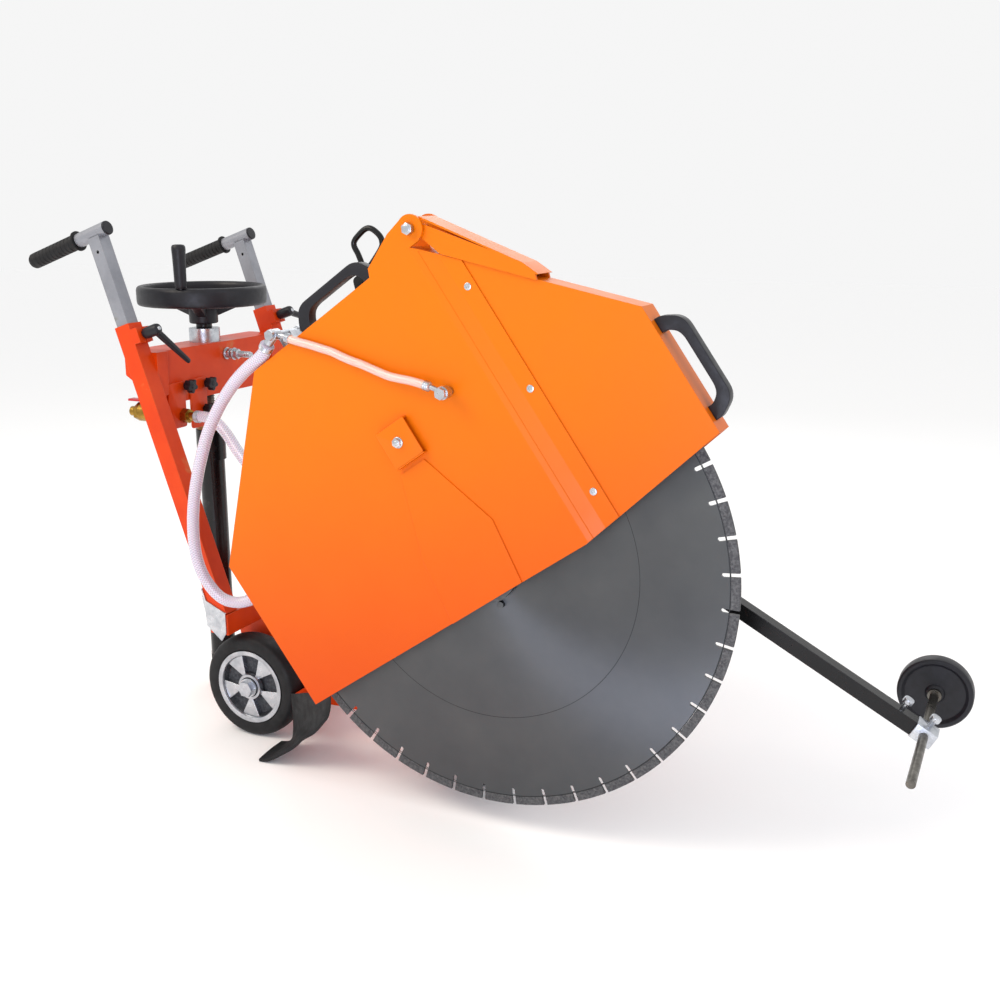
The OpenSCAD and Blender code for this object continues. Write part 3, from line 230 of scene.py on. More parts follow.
def clear_pvc(name, wall, thread, thread_gap_mm, girth_mm):
    """Soft clear PVC: milky wall, and a braid of white threads wound both ways."""
    tree, shader, made = principled(name, Roughness=0.22, IOR=1.53, Coat_Weight=0.3, Subsurface_Weight=0.2,
                                    Subsurface_Scale=0.004)
    run = node(tree, "ShaderNodeUVMap", uv_map="Run")
    apart = node(tree, "ShaderNodeSeparateXYZ", {0: run.outputs["UV"]})
    mask = None
    for way in (1, -1):
        turns = node(tree, "ShaderNodeMath", {0: apart.outputs[1],
                                              1: way * 1000 * math.pi * 2 * 8 / girth_mm},
                     operation="MULTIPLY")
        phase = node(tree, "ShaderNodeMath", {0: apart.outputs[0], 1: 1000 * math.pi * 2 / thread_gap_mm,
                                              2: turns.outputs[0]}, operation="MULTIPLY_ADD")
        wave = node(tree, "ShaderNodeMath", {0: phase.outputs[0]}, operation="SINE")
        mask = wave if mask is None else node(tree, "ShaderNodeMath",
                                              {0: mask.outputs[0], 1: wave.outputs[0]}, operation="MAXIMUM")
    line = node(tree, "ShaderNodeMapRange", {"Value": mask.outputs[0], "From Min": 0.72, "From Max": 0.95})
    tint = node(tree, "ShaderNodeMix", {0: line.outputs[0], 6: linear(wall), 7: linear(thread)},
                data_type="RGBA")
    bump = node(tree, "ShaderNodeBump", {"Strength": 0.25, "Distance": 0.0006, "Height": line.outputs[0]})
    tree.links.new(tint.outputs[2], shader.inputs["Base Color"])
    tree.links.new(bump.outputs[0], shader.inputs["Normal"])
    return made


feed_route = [
    (191.2, -41.8, 675.1), (176, -36, 657), (145, -28, 637), (112, -18, 614), (82, -8, 588), (53, 0, 556),
    (25, 6, 515), (5, 10, 472), (-12, 14, 429), (-26, 18, 384), (-35, 22, 339), (-38, 26, 295),
    (-33, 30, 257), (-21, 36, 226), (-3, 42, 203), (16, 49, 193), (40, 58, 193), (68, 70, 206),
    (90, 84, 232), (102, 96, 268), (103, 108, 308), (92, 120, 345), (68, 132, 374), (36, 143, 396),
    (-2, 153, 418), (-36, 162, 444), (-66, 171, 472), (-94, 178, 491), (-122, 183, 499),
    (-147.2, 184, 498)
]
spray_route = [
    (-70.5, -44, 467.4), (-59, -47, 455), (-46, -48, 442), (-33, -48.5, 429), (-21, -49, 416), (-9, -49, 403),
    (2, -50, 388), (13, -51, 374), (25, -51, 360), (36, -52, 346), (47, -53, 332), (59, -55, 318),
    (72, -56, 306), (86, -57, 294), (99, -58, 281), (111, -59, 268)
]
FEED_D, SPRAY_D = 21, 13
# The wall is lilac grey where it is thick. The thin hose is painted a warm pink, a painted tint that stands
# in for the orange paint seen through it.
braided_pvc = clear_pvc("Braided_clear_PVC", "#B9B0C0", "#E4DEEA", 5, 66)
thin_pvc_painted_warm_light = clear_pvc("Thin_PVC_painted_warm_light", "#D9B2A6", "#E2C0B6", 60, 41)


for name, route, width, place, pvc, body, cad in (
        ("Braided_water_hose", feed_route, FEED_D, FROM_AXLE, braided_pvc, "undercarriage", "braided_hose"),
        ("Spray_hose", spray_route, SPRAY_D, ON_FRAME, thin_pvc_painted_warm_light, "saw_frame", "spray_hose")):
    line = spline(route, 4)
    hose = swept(name, line, width / 2, 20, place, pvc)
    if cad == "braided_hose":
        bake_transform(hose)
        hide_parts(cad)
    else:
        settle(hose, body, "hose_thin", cad)

# ---- Sheet guard, frame and posts --------------------------------------------------------
# The guard, hood, frame and posts are cut and folded steel sheet and square tube, welded and
# powder coated orange. Powder coat is glossy with a faint orange-peel skin, rounds every
# edge, and lets the bare steel show in small chips along the edges.
def surface(name, light, dark, grain_mm, rough, metal=0.0, skin_mm=2.0, skin=0.0, run=(1, 1, 1),
            edge_mm=1.2, worn=None, **values):
    """A finish from its two tones. grain_mm is the size of its mottling, skin_mm and skin the
    size and depth of its bumps, run stretches both along an axis, and worn is the colour that
    shows where edges are rubbed."""
    tree, shader, made = principled(name, Metallic=metal, **values)
    spot = node(tree, "ShaderNodeTexCoord")
    spread = node(tree, "ShaderNodeMapping", {0: spot.outputs["Object"], "Scale": run})
    cloud = node(tree, "ShaderNodeTexNoise", {"Vector": spread.outputs[0], "Scale": 1000 / grain_mm,
                                              "Detail": 4.0, "Roughness": 0.6})
    tone = node(tree, "ShaderNodeMapRange", {"Value": cloud.outputs[0], "From Min": 0.3, "From Max": 0.7})
    colour = node(tree, "ShaderNodeMix", {0: tone.outputs[0], 6: linear(light), 7: linear(dark)},
                  data_type="RGBA")
    dull = node(tree, "ShaderNodeMapRange", {"Value": cloud.outputs[0], "From Min": 0.3, "From Max": 0.7,
                                             "To Min": rough[0], "To Max": rough[1]})
    fine = node(tree, "ShaderNodeTexNoise", {"Vector": spread.outputs[0], "Scale": 1000 / skin_mm,
                                             "Detail": 2.0})
    soft_edge = node(tree, "ShaderNodeBevel", {"Radius": edge_mm * MM}, samples=4)
    bump = node(tree, "ShaderNodeBump", {"Strength": skin, "Distance": 0.0004, "Height": fine.outputs[0],
                                         "Normal": soft_edge.outputs[0]})
    top = colour.outputs[2]
    if worn:
        flat = node(tree, "ShaderNodeNewGeometry")
        turn = node(tree, "ShaderNodeVectorMath", {0: flat.outputs["Normal"], 1: soft_edge.outputs[0]},
                    operation="DOT_PRODUCT")
        rub = node(tree, "ShaderNodeMath", {0: turn.outputs["Value"], 1: cloud.outputs[0]}, operation="ADD")
        bare = node(tree, "ShaderNodeMapRange", {"Value": rub.outputs[0], "From Min": 1.34, "From Max": 1.24})
        top = node(tree, "ShaderNodeMix", {0: bare.outputs[0], 6: top, 7: linear(worn)},
                   data_type="RGBA").outputs[2]
    tree.links.new(top, shader.inputs["Base Color"])
    tree.links.new(dull.outputs[0], shader.inputs["Roughness"])
    tree.links.new(bump.outputs[0], shader.inputs["Normal"])
    return made


def dress(material, *names):
    """Gives the named CAD nodes a finish."""
    for name in names:
        mesh = frame["nodes"][name].data
        for index in range(len(mesh.materials)):
            mesh.materials[index] = material


def painted_height_light(material, low, high, shaded_colour_low, lit_colour_high, slant=0.0):
    """Paints light and shade by height in metres: a lit tone high up and a shaded tone low down, mixed into
    the paint's colour.
    """
    tree = material.node_tree
    shader = tree.nodes["Principled BSDF"]
    base = shader.inputs["Base Color"].links[0].from_socket
    spot = node(tree, "ShaderNodeTexCoord")
    apart = node(tree, "ShaderNodeSeparateXYZ", {0: spot.outputs["Object"]})
    lean_by = node(tree, "ShaderNodeMath", {0: apart.outputs[0], 1: slant, 2: apart.outputs[2]},
                   operation="MULTIPLY_ADD")
    level = node(tree, "ShaderNodeMapRange", {"Value": lean_by.outputs[0], "From Min": low, "From Max": high},
                 interpolation_type="SMOOTHSTEP")
    # Painted light: the lit tone goes above and the shaded tone below.
    painted_light_tone = node(tree, "ShaderNodeMix", {0: level.outputs[0], 6: linear(shaded_colour_low), 7: linear(lit_colour_high)},
                data_type="RGBA")
    both = node(tree, "ShaderNodeMix", {0: 0.8, 6: base, 7: painted_light_tone.outputs[2]}, data_type="RGBA")
    tree.links.new(both.outputs[2], shader.inputs["Base Color"])


# Painted light and shade: the guard's top is painted yellower, as if lit, and its foot redder, as if in
# shade, under one gloss.
powder = surface("Orange_powder_coat", "#E06204", "#D85602", 90, (0.30, 0.40), skin_mm=2.2, skin=0.08,
                 Specular_IOR_Level=0.22)
painted_height_light(powder, 0.02, 0.85, "#C83402", "#E47600", -0.25)
dress(powder, "guard_shell", "service_flap", "hood")
# The frame has a redder batch of the same powder, rubbed pale along its edges.
frame_powder = surface("Frame_powder_coat", "#D84206", "#CC3804", 70, (0.30, 0.42), skin_mm=2.0, skin=0.08,
                       worn="#C8703C", Specular_IOR_Level=0.25)
dress(frame_powder, "chassis", "handle_post_near", "handle_post_far", "crossbeam", "saw_frame")

# ---- Zinc-plated parts -------------------------------------------------------------------
# Axles, brackets, screws and hose fittings are turned or pressed steel, bright zinc plated:
# bluish silver, a little cloudy, with slightly darker edges.
zinc = surface("Bright_zinc_plate", "#D0D3D8", "#A9ADB4", 14, (0.22, 0.38), 1.0, 0.8, 0.15, edge_mm=0.6)
dress(zinc, "axles", "wheel_brackets", "spindle_bearing", "bearing_blocks", "water_fittings")
# Turned steel without plating, dull and dark beside the zinc.
flange = surface("Machined_flange_steel", "#66686A", "#55575A", 20, (0.3, 0.45), 1.0, 0.7, 0.2, edge_mm=0.8)
dress(flange, "blade_clamp")


def turned(profile, sides=64, closed=False):
    """A profile of (radius, height) turned round Z. A radius of 0 makes a pole, and closed joins
    its two ends, for a ring."""
    points, faces, rows = [], [], []
    for radius, height in profile:
        if radius < 1e-6:
            rows.append([len(points)] * sides)
            points.append((0, 0, height))
            continue
        rows.append(list(range(len(points), len(points) + sides)))
        points += [(radius * math.cos(2 * math.pi * k / sides), radius * math.sin(2 * math.pi * k / sides),
                    height) for k in range(sides)]
    for low, high in list(zip(rows, rows[1:])) + ([(rows[-1], rows[0])] if closed else []):
        for k in range(sides):
            n = (k + 1) % sides
            corners = tuple(dict.fromkeys((low[k], low[n], high[n], high[k])))
            if len(corners) > 2:
                faces.append(corners)
    return points, faces


def slab(outline, low, high):
    """A flat plate with an outline that runs anticlockwise, from one height to another."""
    n = len(outline)
    points = [(x, y, low) for x, y in outline] + [(x, y, high) for x, y in outline]
    faces = [tuple(reversed(range(n))), tuple(range(n, 2 * n))]
    return points, faces + [(k, (k + 1) % n, n + (k + 1) % n, n + k) for k in range(n)]


def moved(shape, matrix):
    """The same points and faces in another place."""
    return [matrix @ Vector(p) for p in shape[0]], shape[1]


def together(*shapes):
    """Several shapes as one, each still a closed body."""
    points, faces = [], []
    for more, sides in shapes:
        faces += [tuple(i + len(points) for i in face) for face in sides]
        points += list(more)
    return points, faces


def rounded(corners, radius, steps=4):
    """An outline with its corners rounded; a corner may bring its own radius as a third number."""
    outline = []
    for i, corner in enumerate(corners):
        here, before, after = (Vector(c[:2]) for c in (corner, corners[i - 1],
                                                       corners[(i + 1) % len(corners)]))
        cut = corner[2] if len(corner) > 2 else radius
        back, ahead = before - here, after - here
        a = here + back.normalized() * min(cut, back.length * 0.49)
        b = here + ahead.normalized() * min(cut, ahead.length * 0.49)
        for k in range(steps + 1):
            t = k / steps
            outline.append(tuple((1 - t) ** 2 * a + 2 * t * (1 - t) * here + t * t * b))
    return outline


def regular(sides, across, turn=0.0):
    """The outline of a regular polygon, by the distance across its flats."""
    reach = across / 2 / math.cos(math.pi / sides)
    return [(reach * math.cos(2 * math.pi * k / sides + turn),
             reach * math.sin(2 * math.pi * k / sides + turn))
            for k in range(sides)]


def repeated(made, place, count, step=(0, 0, 0), turn=0.0):
    """Copies a piece by Geometry Nodes, each copy moved by step and turned by turn about Z, and
    puts the plain mesh in its place."""
    tree = bpy.data.node_groups.new("Repeat_along_and_round", "GeometryNodeTree")
    face = tree.interface
    face.new_socket("Geometry", in_out="OUTPUT", socket_type="NodeSocketGeometry")
    face.new_socket("Geometry", in_out="INPUT", socket_type="NodeSocketGeometry")
    wanted = {"Count": ("NodeSocketInt", count), "Step": ("NodeSocketVector", step),
              "Turn": ("NodeSocketFloat", turn), "Finish": ("NodeSocketMaterial", made.data.materials[0])}
    ids = {name: face.new_socket(name, in_out="INPUT", socket_type=kind).identifier
           for name, (kind, _) in wanted.items()}
    given = node(tree, "NodeGroupInput")
    line = node(tree, "GeometryNodeMeshLine", {"Count": given.outputs["Count"],
                                               "Offset": given.outputs["Step"]})
    index = node(tree, "GeometryNodeInputIndex")
    angle = node(tree, "ShaderNodeMath", {0: index.outputs[0], 1: given.outputs["Turn"]},
                 operation="MULTIPLY")
    turning = node(tree, "ShaderNodeCombineXYZ", {2: angle.outputs[0]})
    copies = node(tree, "GeometryNodeInstanceOnPoints", {
        "Points": line.outputs[0], "Instance": given.outputs["Geometry"], "Rotation": turning.outputs[0]})
    real = node(tree, "GeometryNodeRealizeInstances", {0: copies.outputs[0]})
    painted = node(tree, "GeometryNodeSetMaterial",
                   {"Geometry": real.outputs[0], "Material": given.outputs["Finish"]})
    node(tree, "NodeGroupOutput", {0: painted.outputs[0]})
    modifier = made.modifiers.new("Repeat", "NODES")
    modifier.node_group = tree
    for name, (_, value) in wanted.items():
        modifier[ids[name]] = value
    return baked(made, modifier, place)


def baked(made, modifier, place):
    """Turns a piece's Geometry Nodes result into its own plain mesh, in its place."""
    graph = bpy.context.evaluated_depsgraph_get()
    mesh = bpy.data.meshes.new_from_object(made.evaluated_get(graph))
    made.modifiers.remove(modifier)
    made.data = mesh
    mesh.transform(place)
    return made


# UNIT leaves a piece in millimetres until it has been repeated; FACE_OUT turns +Z to the near side.
UNIT = Matrix.Identity(4)
FACE_OUT = Matrix.Rotation(math.radians(90), 4, "X")

# ---- Guard clip and screws ---------------------------------------------------------------
# A folded orange sheet clip holds the top of the service flap, with one zinc screw. Three
# countersunk screws hold the strip, and a hexagon bolt runs through the hinge of the hood.
clip_at = ON_FRAME @ at(11, -40, 227) @ FACE_OUT
clip_plate = rounded([(-29, -31), (29, -31), (29, 31), (-29, 31)], 3)
clip = piece("Guard_clip", together(
    slab(clip_plate, 9.5, 12), slab([(-29, 28.5), (29, 28.5), (29, 31), (-29, 31)], 0.2, 10.5),
    slab([(-29, -31), (29, -31), (29, -33), (-29, -33)][::-1], 0.4, 11.5)), clip_at, powder, 0.8)
settle(clip, "saw_frame", "orange_paint", "guard_fasteners")
clip_screw = piece("Clip_screw", together(
    moved(turned([(0, 12), (9, 12), (9, 13.2), (8.2, 14), (0, 14)], 40), at(-1, 2, 0)),
    moved(slab(regular(6, 13), 14, 19), at(-1, 2, 0)),
    moved(turned([(0, 19), (4, 19), (3.4, 20.4), (0, 20.4)], 24), at(-1, 2, -0.5))), clip_at, zinc, 0.5)
settle(clip_screw, "saw_frame", "zinc_plate", "guard_fasteners")
countersunk = turned([(0, -1), (2.4, -1), (2.4, 0), (5.6, 0), (5.6, 0.7), (4.6, 1.1), (2.6, 1.1), (2.2, 0.2),
                      (0, 0.2)], 32)
strip_screws = piece("Strip_screws", countersunk, UNIT, zinc)
repeated(strip_screws, ON_FRAME @ at(235.5, -32, 11) @ FACE_OUT, 3, (0, 174, 0))
settle(strip_screws, "saw_frame", "zinc_plate", "guard_fasteners")
hinge_bolt = piece("Hood_hinge_bolt", together(
    turned([(0, -25), (5, -25), (5, 42), (0, 42)], 32),
    slab(regular(6, 16), 42, 50), turned([(0, 50), (6.4, 50), (5.6, 51), (0, 51)], 32),
    slab(regular(6, 16, 0.4), -33, -25), turned([(0, -36), (4.6, -36), (5, -35), (5, -33), (0, -33)], 32)),
    ON_FRAME @ at(208, 0, 477) @ FACE_OUT, zinc, 0.5)
settle(hinge_bolt, "saw_frame", "zinc_plate", "guard_fasteners")

# ---- Bridge handles and lifting loop -----------------------------------------------------
# Two moulded black bridge handles are screwed to the guard and the hood from inside. The
# lifting loop is a bent bar, painted black, behind the guard.
# Moulded polyamide: a fine grain that breaks up a soft sheen.
plastic = surface("Grained_black_plastic", "#1B1B22", "#141419", 10, (0.36, 0.48), 0.0, 0.9, 0.2,
                  Specular_IOR_Level=0.35)
HANDLE = 163
bridge = rounded([(0, 0, 1), (0, 10, 8), (17, 38, 17), (HANDLE - 17, 38, 17), (HANDLE, 10, 8), (HANDLE, 0, 1),
                  (HANDLE - 22, 0, 1), (HANDLE - 22, 9, 8), (HANDLE - 34, 24, 15), (34, 24, 15), (22, 9, 8),
                  (22, 0, 1)][::-1], 4, 6)
for name, cad, body, place in (
        ("Guard_handle", "guard_handle", "saw_frame", ON_FRAME @ at(-46, -14.7, 458) @ FACE_OUT),
        ("Hood_handle", "hood_handle", "hood",
         ON_FRAME @ at(440, 5.3, 88 + HANDLE / 2) @ Matrix.Rotation(math.radians(90), 4, "Y") @ FACE_OUT)):
    settle(piece(name, slab(bridge, 0, 20), place, plastic, 2.2, 3), body, "black_plastic", cad)
# Gloss black paint over steel, nearly black with thin bright edges.
black = surface("Black_paint", "#08080A", "#050506", 40, (0.2, 0.32), 0.0, 1.5, 0.12, worn="#2A2A2E",
                Specular_IOR_Level=0.35)
loop_line = spline([(330.7, 28, 789.9), (320.1, 28, 814.3), (313, 28, 827), (314.5, 28, 836),
                    (326, 28, 847.5), (334.3, 28, 853.2), (342.4, 28, 854.5), (351.2, 28, 850.5),
                    (360.2, 28, 842.5), (363.4, 28, 834.5), (362.2, 28, 825.5), (349.7, 28, 807.8),
                    (334.6, 28, 789.2)], 6)
loop = swept("Lifting_loop", loop_line, 4.6, 16, FROM_AXLE, black)
settle(loop, "saw_frame", "black_paint")
dress(black, "belt_cover", "guide_arm", "lift_tube")
bar_outline = rounded([(40, 200), (72, 200), (72, 470), (64, 492), (48, 492), (40, 470)], 6)
bar_at = ON_FRAME @ at(0, 23, 0) @ FACE_OUT
lifting_bar = piece("Lifting_bar", slab(bar_outline, -10, -0.6), bar_at, black, 1.0)
settle(lifting_bar, "saw_frame", "black_paint", "lifting_eye")

# ---- Handle tubes, grips and clamp levers ------------------------------------------------
# Square steel tubes in silver paint slide in the posts. Ribbed rubber grips are pushed on
# their cross bars, and moulded levers with zinc screws clamp the mouths of the posts.
LEAN = math.radians(19)
# The posts are 556 mm long and lean back from a foot 150 mm above the rear axle.
POST_TOP = 150 + 556 * math.cos(LEAN)
# Silver powder coat: grey with a metallic glint and rubbed edges.
silver = surface("Silver_powder_coat", "#96989F", "#85878E", 40, (0.32, 0.44), 0.45, 1.6, 0.10,
                 worn="#8A8A88")
dress(silver, "handle_tube_near", "handle_tube_far")
# Moulded rubber: nearly black and matt.
rubber = surface("Moulded_rubber", "#101013", "#0A0A0C", 18, (0.5, 0.7), 0.0, 0.8, 0.25,
                 Specular_IOR_Level=0.35)


def on_post(y, along):
    """A place on a post's centre line, measured up the lean from its top."""
    return FROM_AXLE @ at(-221, y, POST_TOP) @ Matrix.Rotation(-LEAN, 4, "Y") @ at(0, 0, along)


grip_profile = [(10.4, 0), (17, 0), (18.5, 1.2), (18.5, 3.8), (17.2, 5), (14.2, 5.8)]
for ring in range(11):
    start = 8 + ring * 9.6
    grip_profile += [(14.5, start), (14.5, start + 6), (13.5, start + 7.2), (13.5, start + 8.4)]
grip_profile += [(14.5, 115), (14.2, 120), (12, 123.6), (7, 125), (0, 125), (0, 121), (10.4, 121)]
for side, y, up, body in (("near", 100, 166, "handle_near"), ("far", 516, 146, "handle_far")):
    place = on_post(y, up) @ at(-45.4, 0, 8) @ Matrix.Rotation(math.radians(-90), 4, "Y")
    settle(piece("Grip_" + side, turned(grip_profile, 48, True), place, rubber), body, "grip_rubber",
           "grip_" + side)
    cap = turned([(0, 0.2), (12, 0.2), (12.6, 1), (12.6, 3), (11.6, 4), (0, 4)], 48)
    settle(piece("Tube_cap_" + side, cap, on_post(y, up) @ at(26, 0, 8) @ TO_X, plastic), body,
           "black_plastic", "grip_" + side)
dress(rubber, "v_belts", "grip_near", "grip_far")
hub = turned([(0, 0), (8.2, 0), (9.4, 1), (10.6, 8), (10.6, 29), (9.4, 33.5), (6, 36), (0, 36)], 40)
for side, y, angle in (("near", 100, 43), ("far", 516, 72)):
    body, cad = "lever_" + side, "clamp_lever_" + side
    arm = [(rounded([(-w, -t), (w, -t), (w, t), (-w, t)], min(w, t) * 0.9, 3), z) for w, t, z in (
        (5.4, 6.8, -4), (5.4, 6.6, -20), (4.6, 5.8, -55), (3.8, 5.2, -84), (3.4, 4.8, -90), (2, 3.4, -92.6))]
    points = [(x, v, z) for outline, z in reversed(arm) for x, v in outline]
    n = len(arm[0][0])
    faces = [tuple(reversed(range(n))), tuple(range(len(points) - n, len(points)))]
    for i in range(len(arm) - 1):
        faces += [(i * n + k, i * n + (k + 1) % n, (i + 1) * n + (k + 1) % n,
                   (i + 1) * n + k) for k in range(n)]
    turn = at(25, 0, 0) @ Matrix.Rotation(math.radians(angle), 4, "X")
    lever = piece("Clamp_lever_" + side, together(moved(hub, TO_X), moved((points, faces), turn)),
                  on_post(y, -26) @ at(32, 0, 0), plastic)
    settle(lever, body, "black_plastic", cad)
    screw = piece("Clamp_screw_" + side, together(
        turned([(0, -14), (5, -14), (5, 0), (0, 0)], 32),
        turned([(0, 36), (4, 36), (3.4, 37.4), (0, 37.4)], 24)), on_post(y, -26) @ at(32, 0, 0) @ TO_X, zinc)
    settle(screw, body, "zinc_plate", cad)

# ---- Crossbeam fittings ------------------------------------------------------------------
# Two orange tabs hang from the front of the crossbeam behind star knobs. A zinc stop bolt
# with two nuts and washers sticks out beside them.
tabs = [slab(rounded([(y, low), (y + 48, low), (y + 48, high), (y, high)], 6), 0, 4)
        for y, low, high in ((145, 476, 563), (208, 468, 564))]
tab_at = FROM_AXLE @ at(-180, 0, 0) @ Matrix(((0, 0, 1, 0), (1, 0, 0, 0), (0, 1, 0, 0), (0, 0, 0, 1)))
settle(piece("Beam_tabs", together(*tabs), tab_at, frame_powder, 1.0), "undercarriage", "orange_paint",
       "beam_fittings")
bolt = [turned([(0, -14), (6, -14), (6, 58), (4.6, 62), (0, 62)], 32)]
for start in (0, 18):
    bolt += [turned([(6, start + 0.2), (12, start + 0.2), (12, start + 3), (6, start + 3)], 40, True),
             slab(regular(6, 18, start * 0.05), start + 3, start + 13),
             turned([(5, start + 13), (8.6, start + 13), (6, start + 14.2), (5, start + 14.2)], 40, True)]
settle(piece("Stop_bolt", together(*bolt), FROM_AXLE @ at(-180, 328, 601) @ TO_X, zinc, 0.5), "undercarriage",
       "zinc_plate", "beam_fittings")
thread_rings = piece("Stop_bolt_thread", turned([(5.8, 33), (6.3, 33.7), (5.8, 34.4)], 24, True), UNIT, zinc)
repeated(thread_rings, FROM_AXLE @ at(-180, 328, 601) @ TO_X, 15, (0, 0, 1.75))
settle(thread_rings, "undercarriage", "zinc_plate", "beam_fittings")
lobes = [((11.6 + 2.2 * math.cos(5 * a)) * math.cos(a), (11.6 + 2.2 * math.cos(5 * a)) * math.sin(a))
         for a in (2 * math.pi * k / 80 for k in range(80))]
for letter, y, z in (("a", 195, 554), ("b", 256, 551), ("c", 248, 501)):
    knob = together(turned([(0, -14), (4, -14), (4, 0), (8, 0), (8.6, 6), (0, 6)], 32), slab(lobes, 5.5, 18),
                    turned([(0, 18), (5, 18), (4.4, 19), (0, 19)], 32))
    settle(piece("Star_knob_" + letter, knob, FROM_AXLE @ at(-175.7, y, z) @ TO_X, plastic, 2.0, 3),
           "knob_" + letter, "black_plastic", "star_knob_" + letter)
# Forged brass, yellow and cloudy, and a lever dipped in glossy red vinyl.
dress(surface("Plain_brass", "#B08A3E", "#86682C", 9, (0.25, 0.42), 1.0, 0.8, 0.15, edge_mm=0.6),
      "ball_valve")
dress(surface("Red_dipped_coat", "#C41E2A", "#A8141C", 14, (0.3, 0.4), 0.0, 1.0, 0.1), "valve_lever")

# ---- Handwheel and lifting spindle -------------------------------------------------------
# A moulded handwheel with a deep rim and three spokes turns the four-start spindle. The
# bronze nut of the lift tube is held by six socket screws.
wheel_at = FROM_AXLE @ at(-215, 308, 0)
R = 125
rim = turned([(R - 14.6, 703), (R - 12.5, 699.6), (R - 8, 698.5), (R - 3.4, 699.4), (R - 0.8, 702.5),
              (R, 707), (R, 728), (R - 1, 732.4), (R - 3.6, 735.4), (R - 7.5, 736.5), (R - 11.5, 735.6),
              (R - 14, 732.6), (R - 15, 728)], 96, True)
boss = turned([(9, 661.6), (26, 661.6), (28, 663.5), (28, 694), (25, 700), (18, 702.5), (9, 702.5)], 64, True)
spokes = []
for angle in (60, 180, 300):
    ribs = slab(rounded([(20, 676), (28, 676), (R - 12, 706), (R - 12, 718), (26, 700), (20, 700)], 3), -9, 9)
    spokes.append(moved(ribs, Matrix.Rotation(math.radians(angle), 4, "Z") @ FACE_OUT))
handwheel = piece("Handwheel", together(rim, boss, *spokes), wheel_at, plastic, 1.2)
settle(handwheel, "handwheel", "black_plastic", "handwheel")
# Turned steel under a film of oil: warm grey and glossy.
oiled = surface("Oiled_steel", "#77736C", "#55524D", 12, (0.25, 0.45), 1.0, 0.8, 0.2, edge_mm=0.5)
dress(oiled, "guide_rod", "blade_shaft", "motor_shaft")
knob_angle = math.radians(290)
KNOB_REACH, WHEEL_TOP = 117.5, 736.5
crank = turned([(0, 0.4), (9.6, 0.4), (10.6, 2), (11.2, 8), (11.8, 40), (12.4, 60), (13.1, 72), (12.8, 77),
                (10.8, 80.4), (6, 81.4), (0, 81.4)], 48)
settle(piece("Crank_knob", together(crank, turned([(0, -33), (5, -33), (5, 0.4), (0, 0.4)], 24)),
             wheel_at @ at(KNOB_REACH * math.cos(knob_angle), KNOB_REACH * math.sin(knob_angle), WHEEL_TOP),
             plastic),
       "crank_knob", "black_plastic", "handwheel_knob")


def threaded(name, radius, depth, pitch, length, place, material):
    """A thread wound by Geometry Nodes: a spiral with a V profile swept along it."""
    tree = bpy.data.node_groups.new("Wound_thread", "GeometryNodeTree")
    face = tree.interface
    face.new_socket("Geometry", in_out="OUTPUT", socket_type="NodeSocketGeometry")
    wanted = {"Turns": ("NodeSocketFloat", length / pitch),
              "Radius": ("NodeSocketFloat", radius - depth * 0.5), "Length": ("NodeSocketFloat", length),
              "Depth": ("NodeSocketFloat", depth), "Finish": ("NodeSocketMaterial", material)}
    ids = {key: face.new_socket(key, in_out="INPUT", socket_type=kind).identifier
           for key, (kind, _) in wanted.items()}
    given = node(tree, "NodeGroupInput")
    spiral = node(tree, "GeometryNodeCurveSpiral", {
        "Resolution": 28, "Rotations": given.outputs["Turns"], "Start Radius": given.outputs["Radius"],
        "End Radius": given.outputs["Radius"], "Height": given.outputs["Length"]})
    profile = node(tree, "GeometryNodeCurvePrimitiveCircle",
                   {"Resolution": 4, "Radius": given.outputs["Depth"]})
    wound = node(tree, "GeometryNodeCurveToMesh", {"Curve": spiral.outputs[0],
                                                   "Profile Curve": profile.outputs[0], "Fill Caps": True})
    real = node(tree, "GeometryNodeRealizeInstances", {0: wound.outputs[0]})
    painted = node(tree, "GeometryNodeSetMaterial",
                   {"Geometry": real.outputs[0], "Material": given.outputs["Finish"]})
    node(tree, "NodeGroupOutput", {0: painted.outputs[0]})
    made = bpy.data.objects.new(name, bpy.data.meshes.new(name))
    scene.collection.objects.link(made)
    modifier = made.modifiers.new("Thread", "NODES")
    modifier.node_group = tree
    for key, (_, value) in wanted.items():
        modifier[ids[key]] = value
    return baked(made, modifier, place)


rod = turned([(0, 300), (10.9, 300), (10.9, 626), (12, 627), (12, 659), (8.9, 660), (8.9, 694), (0, 694)], 48)
spindle_rod = piece("Spindle_rod", rod, wheel_at, oiled)
settle(spindle_rod, "handwheel", "spindle_steel", "spindle")
wound = threaded("Spindle_thread", 12, 1.3, 5, 324, wheel_at @ at(0, 0, 301), oiled)
settle(wound, "handwheel", "spindle_steel", "spindle")
collar = turned([(12.1, 652.8), (15.5, 652.8), (15.5, 661), (12.1, 661)], 48, True)
settle(piece("Spindle_collar", collar, wheel_at, black, 0.6), "handwheel", "spindle_steel", "spindle")
# Turned bronze: brown with a soft shine.
bronze = surface("Turned_bronze", "#9A6A43", "#6F4A2E", 10, (0.3, 0.45), 1.0, 0.8, 0.2, edge_mm=0.5)
nut = turned([(12.1, 409), (19.8, 409), (19.8, 449.2), (27, 449.2), (27, 457), (26, 458), (12.1, 458)], 64,
             True)
settle(piece("Spindle_nut", nut, wheel_at, bronze, 0.4), "lift", "nut_bronze", "spindle_nut")
socket_screw = turned([(0, 458), (4.5, 458), (4.5, 464.4), (4, 465), (2.4, 465), (2.2, 462), (0, 462)], 20)
nut_screws = piece("Nut_screws", moved(socket_screw, at(20.5, 0, 0)), UNIT, oiled)
repeated(nut_screws, wheel_at, 6, turn=math.radians(60))
settle(nut_screws, "lift", "nut_bronze", "spindle_nut")

